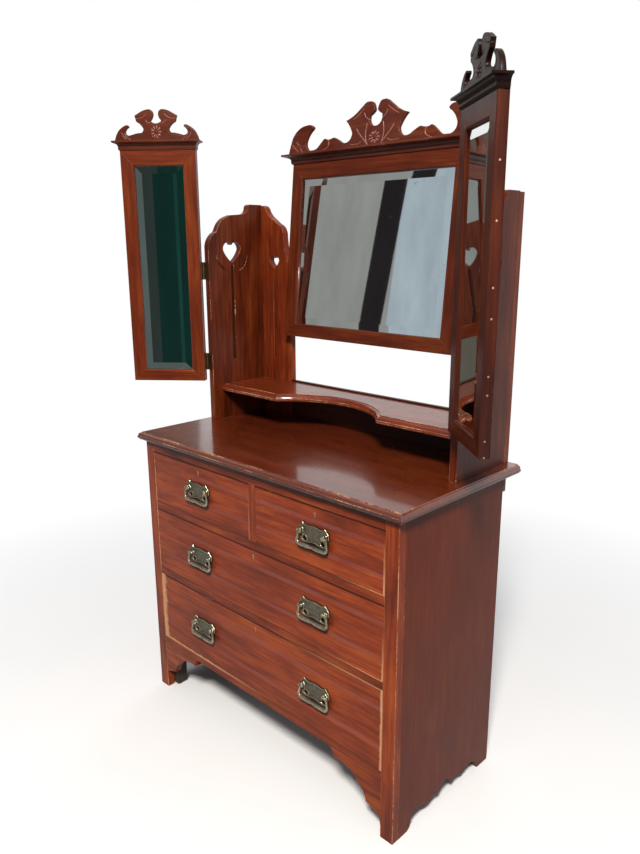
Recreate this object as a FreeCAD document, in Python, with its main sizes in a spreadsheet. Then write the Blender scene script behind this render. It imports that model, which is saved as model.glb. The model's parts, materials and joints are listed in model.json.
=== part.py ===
import FreeCAD
import Part
import math
import os
from types import SimpleNamespace

import Sketcher

# Mahogany dressing chest with two short and two long drawers. A moulded top carries two
# pierced corner standards, a shelf, a tilting centre mirror and two wing mirrors on hinges.
# Millimetres, +Z up, floor at zero, the centre of the object's depth and width at zero.

Vector = FreeCAD.Vector
doc = FreeCAD.newDocument("DressingTable")
sheet = doc.addObject("Spreadsheet::Sheet", "Sizes")
sheet_rows = []


class Size:
    """A length, angle or share: its value and the sheet formula that gives it."""

    def __init__(self, value, formula):
        self.value = value
        self.formula = formula

    def __add__(self, other):
        return worked(self, "+", other)

    def __radd__(self, other):
        return worked(other, "+", self)

    def __sub__(self, other):
        return worked(self, "-", other)

    def __rsub__(self, other):
        return worked(other, "-", self)

    def __mul__(self, other):
        return worked(self, "*", other)

    def __rmul__(self, other):
        return worked(other, "*", self)

    def __truediv__(self, other):
        return worked(self, "/", other)

    def __neg__(self):
        return worked(0, "-", self)


def as_size(thing):
    if isinstance(thing, Size):
        return thing
    return Size(float(thing), "%.6g" % thing if thing >= 0 else "(0 - %.6g)" % -thing)


def worked(first, sign, second):
    first, second = as_size(first), as_size(second)
    if sign in "+-" and second.formula == "0":
        return first
    if sign == "+" and first.formula == "0":
        return second
    results = {
        "+": lambda: first.value + second.value,
        "-": lambda: first.value - second.value,
        "*": lambda: first.value * second.value,
        "/": lambda: first.value / second.value,
    }
    return Size(results[sign](), "(%s %s %s)" % (first.formula, sign, second.formula))


def write_row(alias, text):
    cell = "A%d" % (len(sheet_rows) + 1)
    sheet.set(cell, text)
    sheet.setAlias(cell, alias)
    sheet_rows.append(alias)


def define(alias, size):
    """Give a worked-out size its own row in the sheet."""
    write_row(alias, "=" + size.formula.replace("Sizes.", ""))
    return Size(size.value, "Sizes." + alias)


def read_sizes(names):
    """Give each number named since the last call its own row in the sheet."""
    sizes = {}
    for alias, value in names.items():
        if isinstance(value, (int, float)) and alias not in sheet_rows:
            write_row(alias, str(value))
            sizes[alias] = Size(float(value), "Sizes." + alias)
    return SimpleNamespace(**sizes)


# Chest carcase
body_width = 914
body_depth = 397
origin_setback = 221
foot_height = 157
top_thick = 21
top_overhang = 18
top_back_overhang = 49
side_thick = 20
stile_width = 36
stile_thick = 22
top_rail_height = 30
short_drawer_height = 149
upper_rail_height = 21
middle_drawer_height = 182.5
lower_rail_height = 20
bottom_drawer_height = 206.5
bottom_rail_height = 18
rail_depth = 70
divider_width = 24
bracket_reach = 169
side_arch_height = 49
back_thick = 12
back_board_low = 50
batten_thick = 12
batten_height = 40
runner_width = 36
centre_runner_width = 80
guide_height = 30
corner_block = 35
corner_block_drop = 17
corner_block_low = 8
rail_block = 25
rail_block_length = 110
c = read_sizes(dict(globals()))

# Moulding on the edge of the top
edge_inset = 10
edge_neck = 2
edge_foot_inset = 4
edge_round_swell = 2.3
moulding_lap = 1
t = read_sizes(dict(globals()))

# Drawers
drawer_gap = 1
drawer_seat_gap = 0.3
front_thick = 20
drawer_back_gap = 11
drawer_side_thick = 10
drawer_side_drop = 3
drawer_floor_thick = 6
drawer_floor_rise = 8
reed_band = 11
reed_depth = 1.8
keyhole_drop = 20
keyhole_width = 6
keyhole_height = 11
keyhole_wall = 0.9
keyhole_lining_depth = 4
lock_width = 50
lock_height = 42
lock_thick = 11
lock_wall = 2
lock_drop = 2
bolt_width = 24
bolt_height = 21
bolt_thick = 5
bolt_fit = 0.2
bolt_throw = 6
mortise_gap = 2
mortise_side_gap = 1
key_hole_inner = 3
d = read_sizes(dict(globals()))

# Cast brass handles
plate_half = 48
plate_height = 50
plate_drop = 19
plate_thick = 3
post_offset = 37
post_rise = 8
post_radius = 2.5
knob_radius = 4.5
knob_length = 10
pivot_stand = 6
bail_pin_radius = 1.5
bail_fit = 0.05
bail_pin_spare = 0.5
bail_eye_radius = 5
bail_eye_thick = 5
bail_eye_gap = 1.5
bail_rod_radius = 3
bail_drop = 32.5
bail_splay = 1.5
bail_corner = 9
bail_lean_angle = 4
post_hole_gap = 0.2
nut_width = 9
nut_thick = 4
nut_grip = 2
h = read_sizes(dict(globals()))

# Corner standards and shelf
standard_inset = 17
standard_back_inset = 2
standard_thick = 19
standard_depth = 204
standard_height = 628
rear_board_thick = 20
rear_board_width = 140
big_heart_width = 65
big_heart_height = 60
big_heart_set = 86
stem_low = 176
stem_low_width = 15
stem_high_width = 11
carving_depth = 2.5
small_heart_width = 42
small_heart_height = 35
small_heart_inset = 72
small_stem_inset = 68
small_stem_low = 172
small_stem_width = 5.5
shelf_surface_rise = 107
shelf_thick = 20
shelf_set = 43
shelf_hollow = 86
shelf_corner = 187
shelf_nosing = 12
shelf_quirk = 1.5
shelf_lower_inset = 2
mitre_spare_angle = 8
shelf_back_height = 111
shelf_back_thick = 12
u = read_sizes(dict(globals()))

# Mirror frames, glass and crests
centre_low = 201
centre_high = 283
centre_stile = 40
centre_top = 41
centre_bottom = 37
frame_thick = 22
axis_to_back = 5
pivot_set = 7
lean_angle = 5.4
wing_width = 212
wing_low_rise = 123
wing_height = 643
wing_stile = 37
wing_top = 40
wing_bottom = 33
wing_angle = 40
sight_round = 4
frame_arris = 1.5
rebate_width = 8
lip_thick = 7
glass_edge_thick = 3
glass_bevel_width = 20
glass_bevel_rise = 2
glass_gap = 1
back_panel_thick = 6
cornice_height = 25
cornice_overhang = 26
wing_cornice_height = 25
wing_cornice_overhang = 17
pediment_overhang = 23
pediment_height = 113
pediment_thick = 10
wing_pediment_height = 81
wing_pediment_overhang = 12
m = read_sizes(dict(globals()))

# Wing hinges and centre pivots
hinge_proud = 3.5
hinge_stand = 3
knuckle_radius = 3.5
hinge_pin_radius = 1.5
hinge_fit = 0.05
leaf_thick = 2
leaf_width = 16
leaf_clear = 0.4
hinge_length = 49
knuckle_gap = 0.3
lower_hinge_rise = 153
pivot_gap = 0.2
pivot_plate_thick = 1.4
pivot_plate_width = 12
pivot_plate_above = 8
pivot_plate_below = 26
pivot_pin_radius = 3
pivot_pin_length = 13
pivot_fit = 0.05
pivot_hole_gap = 0.4
pivot_hole_spare = 2
cut_overrun = 5
b = read_sizes(dict(globals()))

# Outlines, each point as shares of the two sizes that it follows, with the swell of the
# edge that leaves it as a share of the first size. An edge swells to the right of its way.
heart_shares = [
    (0, 0, 0.05),
    (0.49, 0.6, 0.17),
    (0.06, 0.93),
    (0, 0.84),
]
crescent_shares = [
    (0.305, -0.84, 0.174),
    (0.88, -0.155, -0.066),
]
keyhole_circle_share = 0.72
keyhole_slot_share = 0.5
bracket_shares = [
    (0, 0.344),
    (0.26, 0.446, -0.035),
    (0.438, 0.72),
    (0.556, 0.826, 0.02),
    (0.675, 0.85, -0.008),
    (0.87, 0.842, -0.05),
    (1, 1),
]
side_foot_shares = [
    (0.139, 0),
    (0.159, 0.18),
    (0.171, 0.45, -0.012),
    (0.219, 0.796),
    (0.262, 0.796, 0.008),
    (0.353, 0.56, -0.02),
    (0.444, 0.52, -0.012),
    (0.519, 1, -0.012),
    (0.587, 0.51, -0.02),
    (0.68, 0.551, 0.006),
    (0.756, 0.714),
    (0.814, 0.653, -0.01),
    (0.872, 0.163),
    (0.882, 0),
]
standard_shares = [
    (1, 1),
    (0.809, 1, 0.012),
    (0.74, 0.99, -0.03),
    (0.642, 0.955),
    (0.475, 0.951, 0.006),
    (0.358, 0.943, 0.03),
    (0.167, 0.885),
    (0.147, 0.874, 0.03),
    (0, 0.812),
]
rear_board_shares = [
    (1, 0.997),
    (0.864, 0.997, 0.02),
    (0.729, 0.981, -0.025),
    (0.529, 0.935),
    (0.371, 0.911, 0.06),
    (0.186, 0.852),
    (0.15, 0.793),
    (0.093, 0.737, 0.02),
    (0, 0.731),
]
plate_shares = [
    (0, 0.08, -0.02),
    (0.3, 0.03),
    (0.62, 0),
    (0.83, 0.06),
    (0.9, 0.22),
    (0.74, 0.34),
    (0.8, 0.42),
    (1, 0.47),
    (1, 0.62),
    (0.98, 0.74),
    (0.73, 1),
    (0.64, 0.9),
    (0.4, 0.87),
    (0, 0.93),
]
plate_hole_shares = [
    (0.46, 0.15, 0.04),
    (0.71, 0.14, 0.05),
    (0.6, 0.33, 0.04),
]
pediment_shares = [
    (1, 0, 0.004),
    (0.955, 0.42, 0.025),
    (0.79, 0.69, 0.003),
    (0.737, 0.687, 0.004),
    (0.704, 0.62, 0.003),
    (0.713, 0.576, -0.012),
    (0.787, 0.29, -0.027),
    (0.708, 0.09, -0.012),
    (0.62, 0.185),
    (0.575, 0.295, 0.008),
    (0.54, 0.3, -0.004),
    (0.475, 0.305, 0.006),
    (0.43, 0.3),
    (0.385, 0.235, -0.006),
    (0.318, 0.165, -0.021),
    (0.247, 0.36, -0.008),
    (0.323, 0.655, -0.006),
    (0.2, 0.81),
    (0.13, 0.955, 0.008),
    (0.071, 1, 0.004),
    (0.039, 0.97, 0.004),
    (0.015, 0.8),
    (0.034, 0.744),
    (0.063, 0.7, -0.029),
    (0, 0.4575),
]
wing_pediment_shares = [
    (1, 0, 0.01),
    (0.92, 0.29, 0.02),
    (0.714, 0.51, 0.01),
    (0.653, 0.485, 0.01),
    (0.666, 0.428, -0.008),
    (0.729, 0.325, -0.02),
    (0.7, 0.205, -0.01),
    (0.624, 0.188),
    (0.508, 0.233, 0.005),
    (0.359, 0.26, -0.02),
    (0.306, 0.4, -0.017),
    (0.462, 0.61),
    (0.498, 0.806),
    (0.361, 0.917, 0.01),
    (0.178, 1, 0.015),
    (0.078, 0.94, 0.008),
    (0.061, 0.807, 0.01),
    (0.127, 0.637, -0.015),
    (0, 0.554),
]
cornice_fascia_share = 0.19
cornice_step_share = 0.115
cornice_cove_share = 0.81
cornice_cove_low_share = 0.58
cornice_bead_share = 0.66
shelf_round_share = 0.6
shelf_bead_share = 0.85
shelf_swell_share = 0.2
big_heart_rise_share = 0.735669
crescent_rise_share = 0.785032
stem_rise_share = 0.724522
small_heart_rise_share = 0.707006
small_stem_rise_share = 0.691083
upper_hinge_rise_share = 0.66242
pivot_rise_share = 0.716561
edge_quirk_share = 0.095
edge_round_low_share = 0.476
edge_bead_high_share = 0.548
edge_bead_low_share = 0.833
edge_foot_share = 0.881
cove_swell_share = 0.16
bead_swell_share = 0.07
frame_round_swell_share = 0.29
bail_corner_swell_share = 0.294
slot_swell_share = 0.1
mitre_reach_share = 0.5
upper_band_share = 0.76
lower_band_share = 0.29


def angle_of(opposite, adjacent):
    """The angle of a right triangle, in degrees."""
    value = math.degrees(math.atan2(opposite.value, adjacent.value))
    return Size(value, "(atan(%s / %s) / 1 deg)" % (opposite.formula, adjacent.formula))


def middle_of(first, second):
    return (first + second) / 2


def scaled(shares, across, up, x=0, y=0, side=1):
    """An outline in real sizes, from its shares, drawn on one side of x."""
    points = []
    for share in shares:
        swell = share[2] if len(share) > 2 else 0
        points.append((x + side * share[0] * across, y + share[1] * up, side * swell * across))
    return points


def whole(half):
    """The outline whose right half this is, from the lower middle to the upper middle."""
    points = list(half[:-1])
    points.append((half[-1][0], half[-1][1], half[-2][2]))
    for i in range(len(half) - 2, 0, -1):
        points.append((-half[i][0], half[i][1], half[i - 1][2]))
    return points


def moved(points, x, y):
    return [(x + p[0], y + p[1]) + tuple(p[2:]) for p in points]


def rectangle(x, y):
    return [(x[0], y[0]), (x[1], y[0]), (x[1], y[1]), (x[0], y[1])]


def circle(x, y, radius):
    return SimpleNamespace(x=as_size(x), y=as_size(y), radius=radius)


def bind(thing, path, size):
    thing.setExpression(path, size.formula)


def place(thing, x=0, y=0, z=0, axis=None, angle=None):
    x, y, z = as_size(x), as_size(y), as_size(z)
    turn = FreeCAD.Rotation(Vector(*axis), angle.value) if axis else FreeCAD.Rotation()
    thing.Placement = FreeCAD.Placement(Vector(x.value, y.value, z.value), turn)
    bind(thing, "Placement.Base.x", x)
    bind(thing, "Placement.Base.y", y)
    bind(thing, "Placement.Base.z", z)
    if axis:
        bind(thing, "Placement.Rotation.Angle", angle)


def block(label, x, y, z):
    """A plain board between two places on each axis."""
    box = doc.addObject("Part::Box", label)
    box.Label = label
    for prop, span in (("Length", x), ("Width", y), ("Height", z)):
        size = as_size(span[1]) - span[0]
        setattr(box, prop, size.value)
        bind(box, prop, size)
    place(box, x[0], y[0], z[0])
    return box


def new_body(label):
    body = doc.addObject("PartDesign::Body", label)
    body.Label = label
    return body


def group(label, pieces):
    node = doc.addObject("Part::Compound", label)
    node.Label = label
    node.Links = pieces
    return node


def arc_edge(start, end, swell):
    chord = end - start
    outward = Vector(chord.y, -chord.x, 0).normalize() * (1 if swell > 0 else -1)
    rise = abs(swell)
    radius = chord.Length ** 2 / (8 * rise) + rise / 2
    centre = (start + end) / 2 - outward * (radius - rise)
    first, last = (start, end) if swell > 0 else (end, start)
    low = math.atan2(first.y - centre.y, first.x - centre.x)
    high = math.atan2(last.y - centre.y, last.x - centre.x)
    if high <= low:
        high += 2 * math.pi
    return Part.ArcOfCircle(Part.Circle(centre, Vector(0, 0, 1), radius), low, high)


def pinned(edge, end, x, y):
    """Rules that hold one point of a sketch at its two sizes."""
    rules = []
    for value, kind, axis in ((x, "DistanceX", -2), (y, "DistanceY", -1)):
        if value.formula == "0":
            rules.append((Sketcher.Constraint("PointOnObject", edge, end, axis), None))
        else:
            rules.append((Sketcher.Constraint(kind, -1, 1, edge, end, value.value), value))
    return rules


def apply_rules(sketch, rules):
    start = sketch.ConstraintCount
    sketch.addConstraint([rule for rule, size in rules])
    for i, (rule, size) in enumerate(rules):
        if size is not None:
            sketch.setExpression("Constraints[%d]" % (start + i), size.formula)


def add_outline(sketch, points, closed=True):
    """Lines and arcs through the points, and the rules that hold them to their sizes."""
    corners = [(as_size(p[0]), as_size(p[1])) for p in points]
    swells = [as_size(p[2]) if len(p) > 2 else as_size(0) for p in points]
    count = len(corners)
    base = sketch.GeometryCount
    edges = count if closed else count - 1
    ends = []
    drawn = []
    rules = []
    for i in range(edges):
        a, z = corners[i], corners[(i + 1) % count]
        start = Vector(a[0].value, a[1].value, 0)
        end = Vector(z[0].value, z[1].value, 0)
        if swells[i].value == 0:
            drawn.append(Part.LineSegment(start, end))
        else:
            drawn.append(arc_edge(start, end, swells[i].value))
            rise = swells[i] if swells[i].value > 0 else -swells[i]
            dx, dy = z[0] - a[0], z[1] - a[1]
            radius = (dx * dx + dy * dy) / (8 * rise) + rise / 2
            rules.append((Sketcher.Constraint("Radius", base + i, radius.value), radius))
        ends.append((2, 1) if swells[i].value < 0 else (1, 2))
    sketch.addGeometry(drawn, False)
    for i in range(edges if closed else edges - 1):
        j = (i + 1) % edges
        joined = (base + i, ends[i][1], base + j, ends[j][0])
        rules.append((Sketcher.Constraint("Coincident", *joined), None))
    for i in range(edges):
        rules += pinned(base + i, ends[i][0], *corners[i])
    if not closed:
        rules += pinned(base + edges - 1, ends[-1][1], *corners[-1])
    return rules


def draw(body, name, role, at, shapes, closed=True):
    """A sketch on one of the body's own planes, raised along that plane's axis."""
    sketch = body.newObject("Sketcher::SketchObject", name)
    planes = [f for f in body.Origin.OriginFeatures if f.Role == role]
    sketch.AttachmentSupport = [(planes[0], "")]
    sketch.MapMode = "FlatFace"
    at = as_size(at)
    if at.formula != "0":
        offset = -at if role == "XZ_Plane" else at
        sketch.AttachmentOffset = FreeCAD.Placement(Vector(0, 0, offset.value), FreeCAD.Rotation())
        bind(sketch, "AttachmentOffset.Base.z", offset)
    rules = []
    for shape in shapes:
        if isinstance(shape, SimpleNamespace):
            centre = Vector(shape.x.value, shape.y.value, 0)
            edge = sketch.addGeometry(Part.Circle(centre, Vector(0, 0, 1), shape.radius.value), False)
            rules += pinned(edge, 3, shape.x, shape.y)
            rules.append((Sketcher.Constraint("Radius", edge, shape.radius.value), shape.radius))
        else:
            rules += add_outline(sketch, shape, closed)
    apply_rules(sketch, rules)
    return sketch


def raise_shape(body, name, role, span, shapes):
    """Add material between two places on the plane's axis."""
    sketch = draw(body, name + "Sketch", role, span[0], shapes)
    feature = body.newObject("PartDesign::Pad", name)
    feature.Profile = sketch
    feature.Reversed = role == "XZ_Plane"
    length = as_size(span[1]) - span[0]
    feature.Length = length.value
    bind(feature, "Length", length)
    return feature


def sink_shape(body, name, role, span, shapes):
    """Cut material away between two places on the plane's axis."""
    sketch = draw(body, name + "Sketch", role, span[0], shapes)
    feature = body.newObject("PartDesign::Pocket", name)
    feature.Profile = sketch
    feature.Reversed = role != "XZ_Plane"
    length = as_size(span[1]) - span[0]
    feature.Length = length.value
    bind(feature, "Length", length)
    return feature


def run_moulding(body, name, path, path_height, profile, role, at):
    """Sweep a moulding's section along a level path with mitred corners."""
    spine = draw(body, name + "Path", "XY_Plane", path_height, [path], closed=False)
    section = draw(body, name + "Section", role, at, [profile])
    pipe = body.newObject("PartDesign::AdditivePipe", name)
    pipe.Profile = section
    pipe.Spine = (spine, ["Edge%d" % (i + 1) for i in range(len(path) - 1)])
    pipe.Transition = "Right corner"
    return pipe


def pair(side, near, far):
    """The span between two distances from the middle, on one side."""
    return (as_size(near), as_size(far)) if side > 0 else (-as_size(far), -as_size(near))


nodes = []
sides = (("left", -1), ("right", 1))
mm_zero = as_size(0)

# Places that several pieces share
half_width = define("half_width", c.body_width / 2)
chest_front = define("chest_front", -c.origin_setback)
chest_back = define("chest_back", c.body_depth - c.origin_setback)
stile_inner = define("stile_inner", half_width - c.stile_width)
side_inner = define("side_inner", half_width - c.side_thick)
stile_back = define("stile_back", chest_front + c.stile_thick)
rail_back = define("rail_back", chest_front + c.rail_depth)
back_front = define("back_front", chest_back - c.back_thick)
bottom_rail_low = c.foot_height
bottom_rail_high = define("bottom_rail_high", bottom_rail_low + c.bottom_rail_height)
lower_rail_low = define("lower_rail_low", bottom_rail_high + c.bottom_drawer_height)
lower_rail_high = define("lower_rail_high", lower_rail_low + c.lower_rail_height)
upper_rail_low = define("upper_rail_low", lower_rail_high + c.middle_drawer_height)
upper_rail_high = define("upper_rail_high", upper_rail_low + c.upper_rail_height)
top_rail_low = define("top_rail_low", upper_rail_high + c.short_drawer_height)
body_high = define("body_high", top_rail_low + c.top_rail_height)
top_surface = define("top_surface", body_high + c.top_thick)
top_back = define("top_back", chest_back + c.top_back_overhang)
divider_half = define("divider_half", c.divider_width / 2)

# Top board: a plain core with the moulding run along the left end, the front and the right end
top = new_body("chest_top")
core_half = half_width + c.top_overhang - t.edge_inset
core_front = chest_front - c.top_overhang + t.edge_inset
raise_shape(top, "Core", "XY_Plane", (body_high, top_surface),
            [rectangle((-core_half, core_half), (core_front, top_back))])


def top_edge(inset, drop):
    return (-core_half - t.edge_inset + inset, top_surface - drop)


edge_profile = [
    top_edge(t.edge_inset, mm_zero),
    top_edge(t.edge_inset, c.top_thick * edge_quirk_share) + (t.edge_round_swell,),
    top_edge(t.edge_neck, c.top_thick * edge_round_low_share),
    top_edge(t.edge_neck, c.top_thick * edge_bead_high_share) + (t.edge_neck,),
    top_edge(t.edge_neck, c.top_thick * edge_bead_low_share),
    top_edge(t.edge_neck, c.top_thick * edge_foot_share),
    top_edge(t.edge_foot_inset, c.top_thick * edge_foot_share),
    top_edge(t.edge_foot_inset, c.top_thick),
    top_edge(t.edge_inset + t.moulding_lap, c.top_thick),
    top_edge(t.edge_inset + t.moulding_lap, mm_zero),
]
top_path = [(-core_half, top_back), (-core_half, core_front),
            (core_half, core_front), (core_half, top_back)]
run_moulding(top, "Moulding", top_path, top_surface, edge_profile, "XZ_Plane", top_back)
nodes.append(top)

# Side panels behind the stiles, with a shaped lower edge that leaves two feet
for name, side in sides:
    panel = new_body("chest_side_" + name)
    arch = scaled(side_foot_shares, c.body_depth, c.side_arch_height, x=chest_front)
    shape = [(stile_back, mm_zero)]
    shape += arch
    shape += [(chest_back, mm_zero), (chest_back, body_high), (stile_back, body_high)]
    raise_shape(panel, "Board", "YZ_Plane", pair(side, side_inner, half_width), [shape])
    nodes.append(panel)
    stile = block("chest_stile_" + name, pair(side, stile_inner, half_width),
                  (chest_front, stile_back), (mm_zero, body_high))
    nodes.append(stile)

# Rails and divider
nodes.append(block("top_rail", (-stile_inner, stile_inner), (chest_front, stile_back),
                   (top_rail_low, body_high)))

lock_plane = chest_front + d.front_thick
bolt_front = lock_plane + (d.lock_thick - d.bolt_thick) / 2
bolt_back = bolt_front + d.bolt_thick
mortise_half = d.bolt_width / 2 + d.mortise_side_gap


def mortised_rail(label, low, high):
    rail = new_body(label)
    raise_shape(rail, "Board", "XY_Plane", (low, high),
                [rectangle((-stile_inner, stile_inner), (chest_front, rail_back))])
    mortise = rectangle((-mortise_half, mortise_half),
                        (bolt_front - d.mortise_gap / 2, bolt_back + d.mortise_gap / 2))
    sink_shape(rail, "Mortise", "XY_Plane", (low, low + d.bolt_throw + d.mortise_gap), [mortise])
    return rail


nodes.append(group("drawer_rails", [
    mortised_rail("UpperRail", upper_rail_low, upper_rail_high),
    mortised_rail("LowerRail", lower_rail_low, lower_rail_high),
]))
nodes.append(block("bottom_rail", (-stile_inner, stile_inner), (chest_front, stile_back),
                   (bottom_rail_low, bottom_rail_high)))
nodes.append(block("drawer_divider", (-divider_half, divider_half), (chest_front, rail_back),
                   (upper_rail_high, top_rail_low)))

# Front brackets between the stiles and the bottom rail
brackets = []
for name, side in sides:
    bracket = new_body("Bracket" + name.capitalize())
    curve = scaled(bracket_shares, c.bracket_reach, bottom_rail_low, x=side * stile_inner, side=-side)
    curve.append((side * stile_inner, bottom_rail_low))
    raise_shape(bracket, "Board", "XZ_Plane", (chest_front, stile_back), [curve])
    brackets.append(bracket)
nodes.append(group("foot_brackets", brackets))

# Upright boards across the back, and the batten under the overhang of the top
back_count = 5
back_gap_share = 0.002
backs = []
for i in range(back_count):
    low = -side_inner + 2 * side_inner * (i / back_count + back_gap_share)
    high = -side_inner + 2 * side_inner * ((i + 1) / back_count - back_gap_share)
    if i == 0:
        low = -side_inner
    if i == back_count - 1:
        high = side_inner
    backs.append(block("Back%d" % (i + 1), (low, high), (back_front, chest_back),
                       (c.back_board_low, body_high)))
batten_low = body_high - c.batten_height
backs.append(block("Batten", (-half_width, half_width), (chest_back, chest_back + c.batten_thick),
                   (batten_low, body_high)))
nodes.append(group("back_boards", backs))

# Runners that the drawers slide on, guides beside them and kickers above the short drawers
runners = []
runner_inner = side_inner - c.runner_width
centre_half = c.centre_runner_width / 2
levels = (
    ("Upper", upper_rail_low, upper_rail_high, rail_back),
    ("Lower", lower_rail_low, lower_rail_high, rail_back),
    ("Bottom", bottom_rail_low, bottom_rail_high, stile_back),
)
for level, low, high, start in levels:
    for name, side in sides:
        tag = level + name.capitalize()
        runners.append(block("Runner" + tag, pair(side, runner_inner, side_inner),
                             (start, back_front), (low, high)))
        runners.append(block("Guide" + tag, pair(side, stile_inner, side_inner),
                             (stile_back, back_front), (high, high + c.guide_height)))
for name, side in sides:
    runners.append(block("Kicker" + name.capitalize(), pair(side, runner_inner, side_inner),
                         (stile_back, back_front), (top_rail_low, body_high)))
runners.append(block("RunnerCentre", (-centre_half, centre_half), (rail_back, back_front),
                     (upper_rail_low, upper_rail_high)))
runners.append(block("GuideCentre", (-divider_half, divider_half), (rail_back, back_front),
                     (upper_rail_high, upper_rail_high + c.guide_height)))
runners.append(block("KickerCentre", (-centre_half, centre_half), (stile_back, back_front),
                     (top_rail_low, body_high)))
nodes.append(group("drawer_runners", runners))

# Glue blocks in the front corners and behind the bottom rail
blocks = []
block_high = bottom_rail_low - c.corner_block_drop
for name, side in sides:
    tag = name.capitalize()
    blocks.append(block("CornerBlock" + tag, pair(side, side_inner - c.corner_block, side_inner),
                        (stile_back, stile_back + c.corner_block), (c.corner_block_low, block_high)))
    near = stile_inner - c.bracket_reach
    blocks.append(block("RailBlock" + tag, pair(side, near, near + c.rail_block_length),
                        (stile_back, stile_back + c.rail_block), (bottom_rail_low, bottom_rail_high)))
nodes.append(group("glue_blocks", blocks))


# Keyhole: a round eye over a slot, about its own middle
def keyhole(x, z, wall):
    width = d.keyhole_width - 2 * wall
    height = d.keyhole_height - 2 * wall
    eye = width / 2
    slot = width * keyhole_slot_share / 2
    low = z - height / 2
    neck = z + height / 2 - width * keyhole_circle_share - eye / 2
    rise = z + height / 2 - neck
    return [
        (x - slot, low),
        (x + slot, low),
        (x + slot, neck, rise - slot * slot_swell_share),
        (x - slot, neck),
    ]


def reeded_section(front, low, high):
    """Section of a drawer front: two bands of three reeds in a shallow groove."""
    tall = high - low
    shape = []
    reed = d.reed_band / 3
    for share in (lower_band_share, upper_band_share):
        start = low + tall * share - d.reed_band / 2
        shape.append((front, start))
        for i in range(3):
            shape.append((front + d.reed_depth, start + reed * i, -d.reed_depth))
        shape.append((front + d.reed_depth, start + d.reed_band))
        shape.append((front, start + d.reed_band))
    back = front + d.front_thick
    return [(front, low)] + shape + [(front, high), (back, high), (back, low)]


# The bails turn on pins through the knobs, and their eyes stand just outside the knobs
pin_y = define("bail_pin_place", chest_front - h.plate_thick - h.pivot_stand)
eye_reach = define("bail_eye_offset", h.post_offset + h.knob_radius + h.bail_eye_gap + h.bail_eye_thick / 2)
pin_length = define("bail_pin_length", 2 * h.knob_radius + h.bail_eye_gap + h.bail_pin_spare)
handle_offset = define("handle_offset", middle_of(stile_inner, divider_half))


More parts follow.
